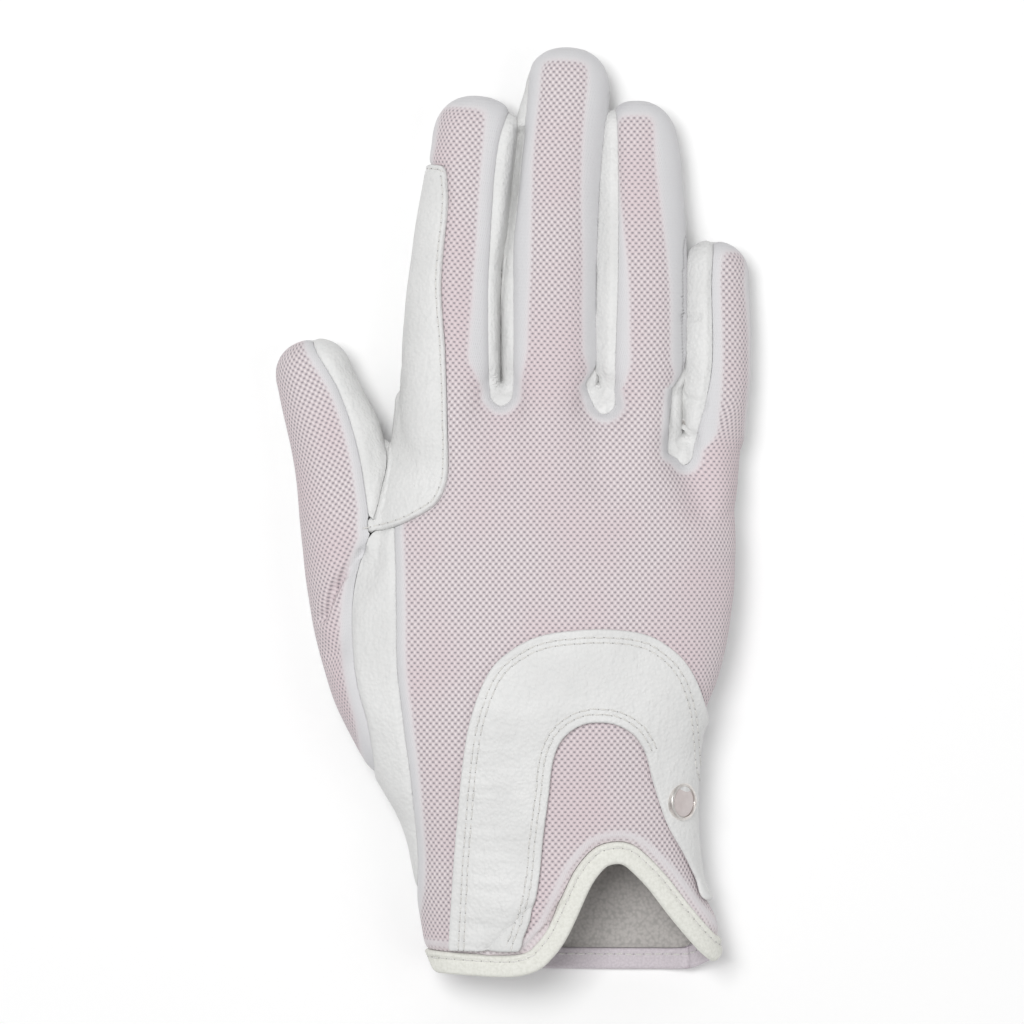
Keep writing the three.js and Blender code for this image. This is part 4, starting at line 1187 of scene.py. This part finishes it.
# The inner rows stop where the loose leg begins, and short of the cuff
SEWN_TO_ACROSS, SEWN_FROM_ALONG = 0.52, 0.05
limit_x, limit_y = on_hand(SEWN_TO_ACROSS, SEWN_FROM_ALONG)
sewn_inner = STRAP_INNER_EDGE[(STRAP_INNER_EDGE[:, 0] < limit_x) & (STRAP_INNER_EDGE[:, 1] > limit_y)]
strap_rows = [inset_line(line, row) for row in STRAP_ROWS for line in (STRAP_OUTER_EDGE, sewn_inner)]
STRAP_EDGE_ROWS = (0.06 * MM, 0.16 * MM, 0.32 * MM, 0.55 * MM, 1.5 * MM, 2.5 * MM)
panel = largest_part(cut_panel(strap_field, STRAP_EDGE_ROWS))
plan = panel.points[:, :2]
edge = rounded(panel.inside, STRAP_EDGE)
middle = STRAP_GAP + STRAP_THICKNESS / 2
lift = middle + STRAP_THICKNESS / 2 * edge
for row in strap_rows:
    lift += stitch_dip(distance_to(row, *plan.T)) * edge
# The sewn leg is drawn up into fine cross wrinkles
LEG_SIDE = (-0.25, -0.05)
LEG_WRINKLE, LEG_WAVE, LEG_SEED = 0.16 * MM, 5 * MM, 11
LEG_STRETCH = (0.25, 1.6, 0.5)
LEG_EDGE = 2 * MM
STRAP_WAVE, STRAP_SEED = 12 * MM, 5
leg = 1 - ease(*LEG_SIDE, (plan[:, 0] - HAND_ORIGIN[0]) / (HAND_WIDTH / 2))
creased = wrinkles(panel.points, LEG_SEED, LEG_WAVE, LEG_STRETCH)
lift += LEG_WRINKLE * leg * creased * ease(0, LEG_EDGE, panel.inside)
lift += SOFTNESS * wrinkles(panel.points, STRAP_SEED, STRAP_WAVE) * edge
under = middle - STRAP_THICKNESS / 2 * edge
piece = sewn("wrist_strap_leather", panel, lift, under, leather.material, leather.material)
pieces["wrist_strap"] = on_glove(piece, "leather", "wrist_strap")

# The cuff's edges. A folded tape binds the back of the cuff and its rounded notch, and the palm's leather is turned
# in to a hem. Each is held by one row of stitches.
RIBS_PER_METRE, SPECKLES_PER_METRE = 1500.0, 1900.0
RIB_DEPTH, SPECKLE_DEPTH = 0.12 * MM, 0.1 * MM
tape = Finish("tape", Roughness=0.85)
ribs = tape.noise(RIBS_PER_METRE, 3.0)
tape.feed("Base Color", tape.blend(ribs.step(0.3, 0.75), shade(233, 233, 226), shade(221, 221, 213)))
tape.feed("Normal", tape.bump(ribs, RIB_DEPTH))

hem_leather = Finish("hem_leather", Roughness=0.62)
speckle = hem_leather.noise(SPECKLES_PER_METRE, 3.0)
hem_colour = hem_leather.blend(speckle.step(0.3, 0.7), shade(214, 206, 212), shade(201, 193, 199))
hem_leather.feed("Base Color", hem_colour)
hem_leather.feed("Normal", hem_leather.bump(speckle, SPECKLE_DEPTH))

BINDING_RELIEF = 0.5 * MM
BINDING_EDGE = 0.9 * MM
BINDING_ROW = 1.5 * MM
BINDING_DIPS = 2.6
BINDING_EDGE_ROWS = (0.1 * MM, 0.3 * MM, 0.6 * MM, 0.9 * MM, 1.5 * MM, 2.1 * MM)
panel = largest_part(cut_panel(binding_field, BINDING_EDGE_ROWS))
relief = (BINDING_RELIEF + WALL / 2) * rounded(panel.inside, BINDING_EDGE)
lift, under = -WALL / 2 + relief, -WALL / 2 - relief
binding_row = inset_line(NOTCH_LINE, BINDING_ROW - BINDING_WIDTH / 2)
lift += BINDING_DIPS * stitch_dip(distance_to(binding_row, *panel.points[:, :2].T))
piece = sewn("cuff_binding_tape", panel, lift, under, tape.material, tape.material)
pieces["cuff_binding"] = on_glove(piece, "binding", "cuff_binding")

HEM_RELIEF = 0.35 * MM
HEM_JOIN = [(0.776, -0.02), (0.78, 0.015), (0.772, 0.05)]
HEM_JOIN_DEPTH = 0.75 * MM
HEM_JOIN_REACH = 0.55 * MM
HEM_EDGE_ROWS = (0.1 * MM, 0.3 * MM, 0.6 * MM, 0.9 * MM)
panel = largest_part(cut_panel(hem_field, HEM_EDGE_ROWS))
join = distance_to(hand_line(HEM_JOIN), *panel.points[:, :2].T)
relief = (HEM_RELIEF + WALL / 2) * rounded(panel.inside, BINDING_EDGE)
relief -= HEM_JOIN_DEPTH * np.exp(-((join / HEM_JOIN_REACH) ** 2))
lift, under = -WALL / 2 + relief, -WALL / 2 - relief
piece = sewn("cuff_hem_leather", panel, lift, under, hem_leather.material, hem_leather.material)
pieces["cuff_hem"] = on_glove(piece, "hem", "cuff_hem")

# The press stud's cap on the loose leg: a pressed metal rim round a glossy enamel face, left bare. The socket under
# the strap holds it.
STUD_DIAMETER = 9 * MM
STUD_HEIGHT = 1.5 * MM
STUD_RIM_WIDTH = 0.8 * MM
STUD_RECESS = 0.35 * MM
STUD_SIDES = 96
STUD_BEVEL = 0.22 * MM
STUD_JOINT = 0.14 * MM
METAL_CORNER = math.radians(40)

SCUFFS_PER_METRE, CLOUDS_PER_METRE = 700.0, 500.0
rim_metal = Finish("rim_metal", Metallic=1.0, Roughness=0.3)
scuffs = rim_metal.noise(SCUFFS_PER_METRE, 4.0)
rim_colour = rim_metal.blend(scuffs.step(0.4, 0.8), shade(238, 234, 230), shade(206, 200, 196))
rim_metal.feed("Base Color", rim_colour)
rim_metal.feed("Roughness", 0.2 + scuffs * 0.25)

enamel = Finish("enamel", Roughness=0.22, coat_weight=0.6, coat_roughness=0.08)
cloudy = enamel.noise(CLOUDS_PER_METRE, 3.0)
enamel.feed("Base Color", enamel.blend(cloudy.step(0.3, 0.7), shade(211, 201, 199), shade(202, 192, 190)))


def turned_piece(name, profile, finish):
    """A round piece from its closed profile of (radius, height) on the stud's axis."""
    tilt = math.radians(STUD_TILT)
    axis = np.array([math.sin(tilt), 0, math.cos(tilt)])
    side = np.array([math.cos(tilt), 0, -math.sin(tilt)])
    ahead = np.array([0.0, 1.0, 0.0])
    middle = np.array([(a + b) / 2 for a, b in zip(rim_low, rim_high)]) - axis * STUD_HEIGHT / 2
    angle = np.arange(STUD_SIDES) / STUD_SIDES * 2 * math.pi
    points, faces, rings = [], [], []
    for radius, height in profile:
        if radius < 1e-9:
            rings.append([len(points)] * STUD_SIDES)
            points.append(middle + axis * height)
            continue
        rings.append(list(range(len(points), len(points) + STUD_SIDES)))
        for turn in angle:
            points.append(middle + axis * height + radius * (math.cos(turn) * side + math.sin(turn) * ahead))
    for lower, upper in zip(rings, rings[1:] + rings[:1]):
        for j in range(STUD_SIDES):
            k = (j + 1) % STUD_SIDES
            face = list(dict.fromkeys([lower[j], lower[k], upper[k], upper[j]]))
            if len(face) > 2:
                faces.append(face)
    piece = mesh_object(name, points, faces)
    piece.data.polygons.foreach_set("use_smooth", np.ones(len(faces), bool))
    piece.data.set_sharp_from_angle(angle=METAL_CORNER)
    piece.data.materials.append(finish)
    return piece


radius = STUD_DIAMETER / 2
rim_profile = [(radius - STUD_RIM_WIDTH, 0), (radius, 0), (radius, STUD_HEIGHT - STUD_BEVEL)]
for share in (0.25, 0.5, 0.75, 1.0):
    turn = share * math.pi / 2
    rim_profile.append(
        (radius - STUD_BEVEL * (1 - math.cos(turn)), STUD_HEIGHT - STUD_BEVEL * (1 - math.sin(turn)))
    )
inner = radius - STUD_RIM_WIDTH
rim_profile += [(inner + STUD_BEVEL / 2, STUD_HEIGHT), (inner, STUD_HEIGHT - STUD_BEVEL)]
on_glove(turned_piece("stud_rim_ring", rim_profile, rim_metal.material), "rim", "stud_rim")
face_radius = inner - STUD_JOINT
FACE_CROWN = 0.65
crown = []
for share in (1.0, 0.85, 0.6, 0.3, 0.0):
    sunk = STUD_RECESS * (1 - FACE_CROWN + FACE_CROWN * share * share)
    crown.append((face_radius * share, STUD_HEIGHT - sunk))
face_profile = [(0.0, STUD_HEIGHT / 4), (face_radius, STUD_HEIGHT / 4)] + crown
on_glove(turned_piece("stud_face_disc", face_profile, enamel.material), "face", "stud_face")

# The stitches. Strong polyester thread in even lockstitch, lying on the leather and drawn a little into it: one row
# round the patch, two on the strap, one along the binding and one along the hem. A small dark dot of painted shade
# sits in each needle hole between the stitches.
STITCH_LENGTH = 1.9 * MM
STITCH_PITCH = 2.3 * MM
THREAD_WIDTH = 0.42 * MM
THREAD_HEIGHT = 0.3 * MM
PRICK_SHADE_SIZE = 0.33 * MM

THREAD_LIFT = 0.2
HEM_ROW = 0.7 * BINDING_WIDTH
ROW_STEP = 0.4 * MM
RAY_FROM_ABOVE, RAY_FROM_BELOW = 0.1, -0.05
STRANDS_PER_METRE, PRICK_SHADE_MOTTLES_PER_METRE = 5200.0, 3000.0
STRAND_DEPTH = 0.06 * MM

thread = Finish("thread", Roughness=0.6, sheen_weight=0.2)
strands = thread.noise(STRANDS_PER_METRE)
thread.feed("Base Color", thread.blend(strands.step(0.3, 0.7), shade(232, 231, 228), shade(206, 204, 200)))
thread.feed("Normal", thread.bump(strands, STRAND_DEPTH))

# Painted shade: the dark dots at the needle holes between the stitches, mottled a little
prick = Finish("prick", Roughness=0.9)
prick_shade_mottle = prick.noise(PRICK_SHADE_MOTTLES_PER_METRE)
prick.feed("Base Color", prick.blend(prick_shade_mottle, shade(184, 182, 181), shade(164, 162, 161)))


def surface_of(piece):
    """A piece's surface for finding where a line meets it."""
    places = [Vector(p) for p in positions(piece.data)]
    return BVHTree.FromPolygons(places, [tuple(face.vertices) for face in piece.data.polygons])


def laid_on(surface, line, upward=False):
    """Points of a plan's line on a surface, seen from above or from below, in runs, each with its outward normal."""
    lengths = np.concatenate([[0], np.cumsum(np.linalg.norm(np.diff(line, axis=0), axis=1))])
    marks = np.arange(0, lengths[-1], ROW_STEP)
    places = np.column_stack([np.interp(marks, lengths, line[:, k]) for k in range(2)])
    runs, run = [], []
    height, way = (RAY_FROM_BELOW, 1.0) if upward else (RAY_FROM_ABOVE, -1.0)
    for px, py in places:
        hit, normal, _, _ = surface.ray_cast(Vector((px, py, height)), Vector((0, 0, way)))
        if hit is None or (run and (hit - run[-1][0]).length > 4 * ROW_STEP):
            runs.append(run)
            run = []
        if hit is not None:
            run.append((hit, normal))
    return [r for r in runs + [run] if len(r) * ROW_STEP > 2 * STITCH_PITCH]


stitch_points, stitch_ups, stitch_lines = [], [], []


def sew(piece_name, lines, upward=False):
    """Adds rows of stitches along lines on a piece."""
    surface = surface_of(pieces[piece_name])
    for line in lines:
        for run in laid_on(surface, line, upward=upward):
            start = len(stitch_points)
            stitch_points.extend(hit + normal * THREAD_HEIGHT * THREAD_LIFT for hit, normal in run)
            stitch_ups.extend(normal for _, normal in run)
            stitch_lines.extend((start + i, start + i + 1) for i in range(len(run) - 1))


patch_row = np.vstack([PATCH_FINGER_EDGE, PATCH_HAND_EDGE])
sew("index_patch", [inset_line(patch_row, STITCH_ROW)])
sew("wrist_strap", strap_rows)
sew("cuff_binding", [binding_row])
hem_row = inset_line(CUFF_EDGE, -HEM_ROW)
sew("cuff_hem", [hem_row])
sew("cuff_hem", [hem_row], upward=True)

rows_mesh = bpy.data.meshes.new("stitch_rows")
rows_mesh.from_pydata(stitch_points, stitch_lines, [])
ups = rows_mesh.attributes.new("up", "FLOAT_VECTOR", "POINT")
ups.data.foreach_set("vector", np.array(stitch_ups, np.float32).ravel())
stitch_rows = bpy.data.objects.new("stitch_rows", rows_mesh)
bpy.context.scene.collection.objects.link(stitch_rows)

tree = bpy.data.node_groups.new("sewing", "GeometryNodeTree")
tree.interface.new_socket("Rows", in_out="INPUT", socket_type="NodeSocketGeometry")
inputs = {}
sizes = {"Pitch": STITCH_PITCH, "Length": STITCH_LENGTH}
sizes.update({"Width": THREAD_WIDTH, "Height": THREAD_HEIGHT, "Prick": PRICK_SHADE_SIZE})
for title, value in sizes.items():
    socket = tree.interface.new_socket(title, in_out="INPUT", socket_type="NodeSocketFloat")
    inputs[socket.identifier] = value
tree.interface.new_socket("Stitches", in_out="OUTPUT", socket_type="NodeSocketGeometry")


def stage_node(kind, settings=(), sockets=()):
    """Adds a node to the sewing tree with its settings and its sockets' links or values."""
    node = tree.nodes.new(kind)
    for key, value in dict(settings).items():
        setattr(node, key, value)
    for key, value in dict(sockets).items():
        if isinstance(value, bpy.types.NodeSocket):
            tree.links.new(value, node.inputs[key])
        else:
            node.inputs[key].default_value = value
    return node


given = stage_node("NodeGroupInput").outputs
curve = stage_node("GeometryNodeMeshToCurve", {}, {"Mesh": given["Rows"]})
spots = stage_node(
    "GeometryNodeCurveToPoints", {"mode": "LENGTH"}, {"Curve": curve.outputs["Curve"], "Length": given["Pitch"]}
)
up = stage_node("GeometryNodeInputNamedAttribute", {"data_type": "FLOAT_VECTOR"}, {"Name": "up"})
along_row = stage_node(
    "FunctionNodeAlignRotationToVector", {"axis": "X"}, {"Vector": spots.outputs["Tangent"]}
)
standing = stage_node(
    "FunctionNodeAlignRotationToVector",
    {"axis": "Z", "pivot_axis": "X"},
    {"Rotation": along_row.outputs["Rotation"], "Vector": up.outputs["Attribute"]},
)
SWAY = (0.03, 0.03, 0.07)
SWAY_SEED = 7
sway = stage_node(
    "FunctionNodeRandomValue",
    {"data_type": "FLOAT_VECTOR"},
    {"Min": tuple(-turn for turn in SWAY), "Max": SWAY, "Seed": SWAY_SEED},
)
swayed = stage_node(
    "FunctionNodeRotateRotation",
    {"rotation_space": "LOCAL"},
    {"Rotation": standing.outputs["Rotation"], "Rotate By": sway.outputs["Value"]},
)
size = stage_node(
    "ShaderNodeCombineXYZ", {}, {"X": given["Length"], "Y": given["Width"], "Z": given["Height"]}
)
# Each stitch is a grain that reaches from one needle hole to the next, so it starts beside its spot on the row
grain = stage_node("GeometryNodeMeshUVSphere", {}, {"Segments": 8, "Rings": 6, "Radius": 0.5})
half_a_pitch = (STITCH_PITCH / STITCH_LENGTH / 2, 0, 0)
beside = stage_node(
    "GeometryNodeTransform", {}, {"Geometry": grain.outputs["Mesh"], "Translation": half_a_pitch}
)
# A small dark dot of painted shade at each needle hole, between the stitches
prick_shade_shape = stage_node("GeometryNodeMeshUVSphere", {}, {"Segments": 8, "Rings": 5, "Radius": 0.5})
prick_shade_size = stage_node(
    "ShaderNodeCombineXYZ", {}, {"X": given["Prick"], "Y": given["Prick"], "Z": given["Width"]}
)
made = []
for shape, scale, finish in (
    (beside.outputs["Geometry"], size.outputs["Vector"], thread),
    (prick_shade_shape.outputs["Mesh"], prick_shade_size.outputs["Vector"], prick),
):
    placed = {"Points": spots.outputs["Points"], "Instance": shape, "Scale": scale}
    grains = stage_node(
        "GeometryNodeInstanceOnPoints", {}, {**placed, "Rotation": swayed.outputs["Rotation"]}
    )
    real = stage_node("GeometryNodeRealizeInstances", {}, {"Geometry": grains.outputs["Instances"]})
    coloured = {"Geometry": real.outputs["Geometry"], "Material": finish.material}
    made.append(stage_node("GeometryNodeSetMaterial", {}, coloured))
painted = stage_node("GeometryNodeJoinGeometry")
for part in made:
    tree.links.new(part.outputs["Geometry"], painted.inputs["Geometry"])
stage_node("NodeGroupOutput", {}, {"Stitches": painted.outputs["Geometry"]})
sewing = stitch_rows.modifiers.new("sewing", "NODES")
sewing.node_group = tree
for identifier, value in inputs.items():
    sewing[identifier] = value
evaluated_rows = stitch_rows.evaluated_get(bpy.context.evaluated_depsgraph_get())
stitch_mesh = bpy.data.meshes.new_from_object(evaluated_rows)
bpy.data.objects.remove(stitch_rows)
stitch_mesh.polygons.foreach_set("use_smooth", np.ones(len(stitch_mesh.polygons), bool))
stitches = bpy.data.objects.new("stitches", stitch_mesh)
bpy.context.scene.collection.objects.link(stitches)
on_glove(stitches, "binding")

# The table, the light and the camera. The glove lies on a pale table under soft light from the upper left with a
# weaker one on the right, seen from straight above.
FLOOR_SIZE = 3.0
FLOOR_GAP = 0.02 * MM
CAMERA_HEIGHT = 1.2
CAMERA_X, CAMERA_Y = 0.056 * MM, -0.286 * MM
PICTURE_WIDTH = 249.3 * MM
FOCUS_HEIGHT = 10 * MM
SENSOR = 36.0
ROOM_LIGHT = 0.42
CLOUDING_PER_METRE = 8.0

floor_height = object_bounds()[0][2] - FLOOR_GAP
bpy.ops.mesh.primitive_plane_add(size=FLOOR_SIZE, location=(0, 0, floor_height))
floor = bpy.context.object
floor.name = "table_top"
table_top = Finish("table_top", Roughness=0.9)
clouding = table_top.noise(CLOUDING_PER_METRE)
table_top.feed("Base Color", table_top.blend(clouding, shade(255, 255, 255), shade(254, 254, 254)))
floor.data.materials.append(table_top.material)

world = bpy.data.worlds.new("room")
bpy.context.scene.world = world
world.use_nodes = True
background = world.node_tree.nodes["Background"].inputs
background["Color"].default_value = (1.0, 1.0, 1.0, 1.0)
background["Strength"].default_value = ROOM_LIGHT


def lamp(name, place, size, power):
    """A soft square light aimed at the glove."""
    light = bpy.data.lights.new(name, "AREA")
    light.size, light.energy = size, power
    holder = bpy.data.objects.new(name, light)
    holder.location = place
    holder.rotation_euler = (-Vector(place)).to_track_quat("-Z", "Y").to_euler()
    bpy.context.scene.collection.objects.link(holder)


lamp("key", (-0.24, 0.2, 1.15), 0.45, 8.0)
lamp("fill", (0.6, -0.15, 0.75), 0.6, 1.15)

lens = bpy.data.cameras.new("camera")
lens.sensor_width = SENSOR
lens.lens = SENSOR * (CAMERA_HEIGHT - FOCUS_HEIGHT) / PICTURE_WIDTH
camera = bpy.data.objects.new("camera", lens)
camera.location = (CAMERA_X, CAMERA_Y, CAMERA_HEIGHT)
bpy.context.scene.collection.objects.link(camera)
bpy.context.scene.camera = camera
bpy.context.scene.view_settings.view_transform = "Standard"
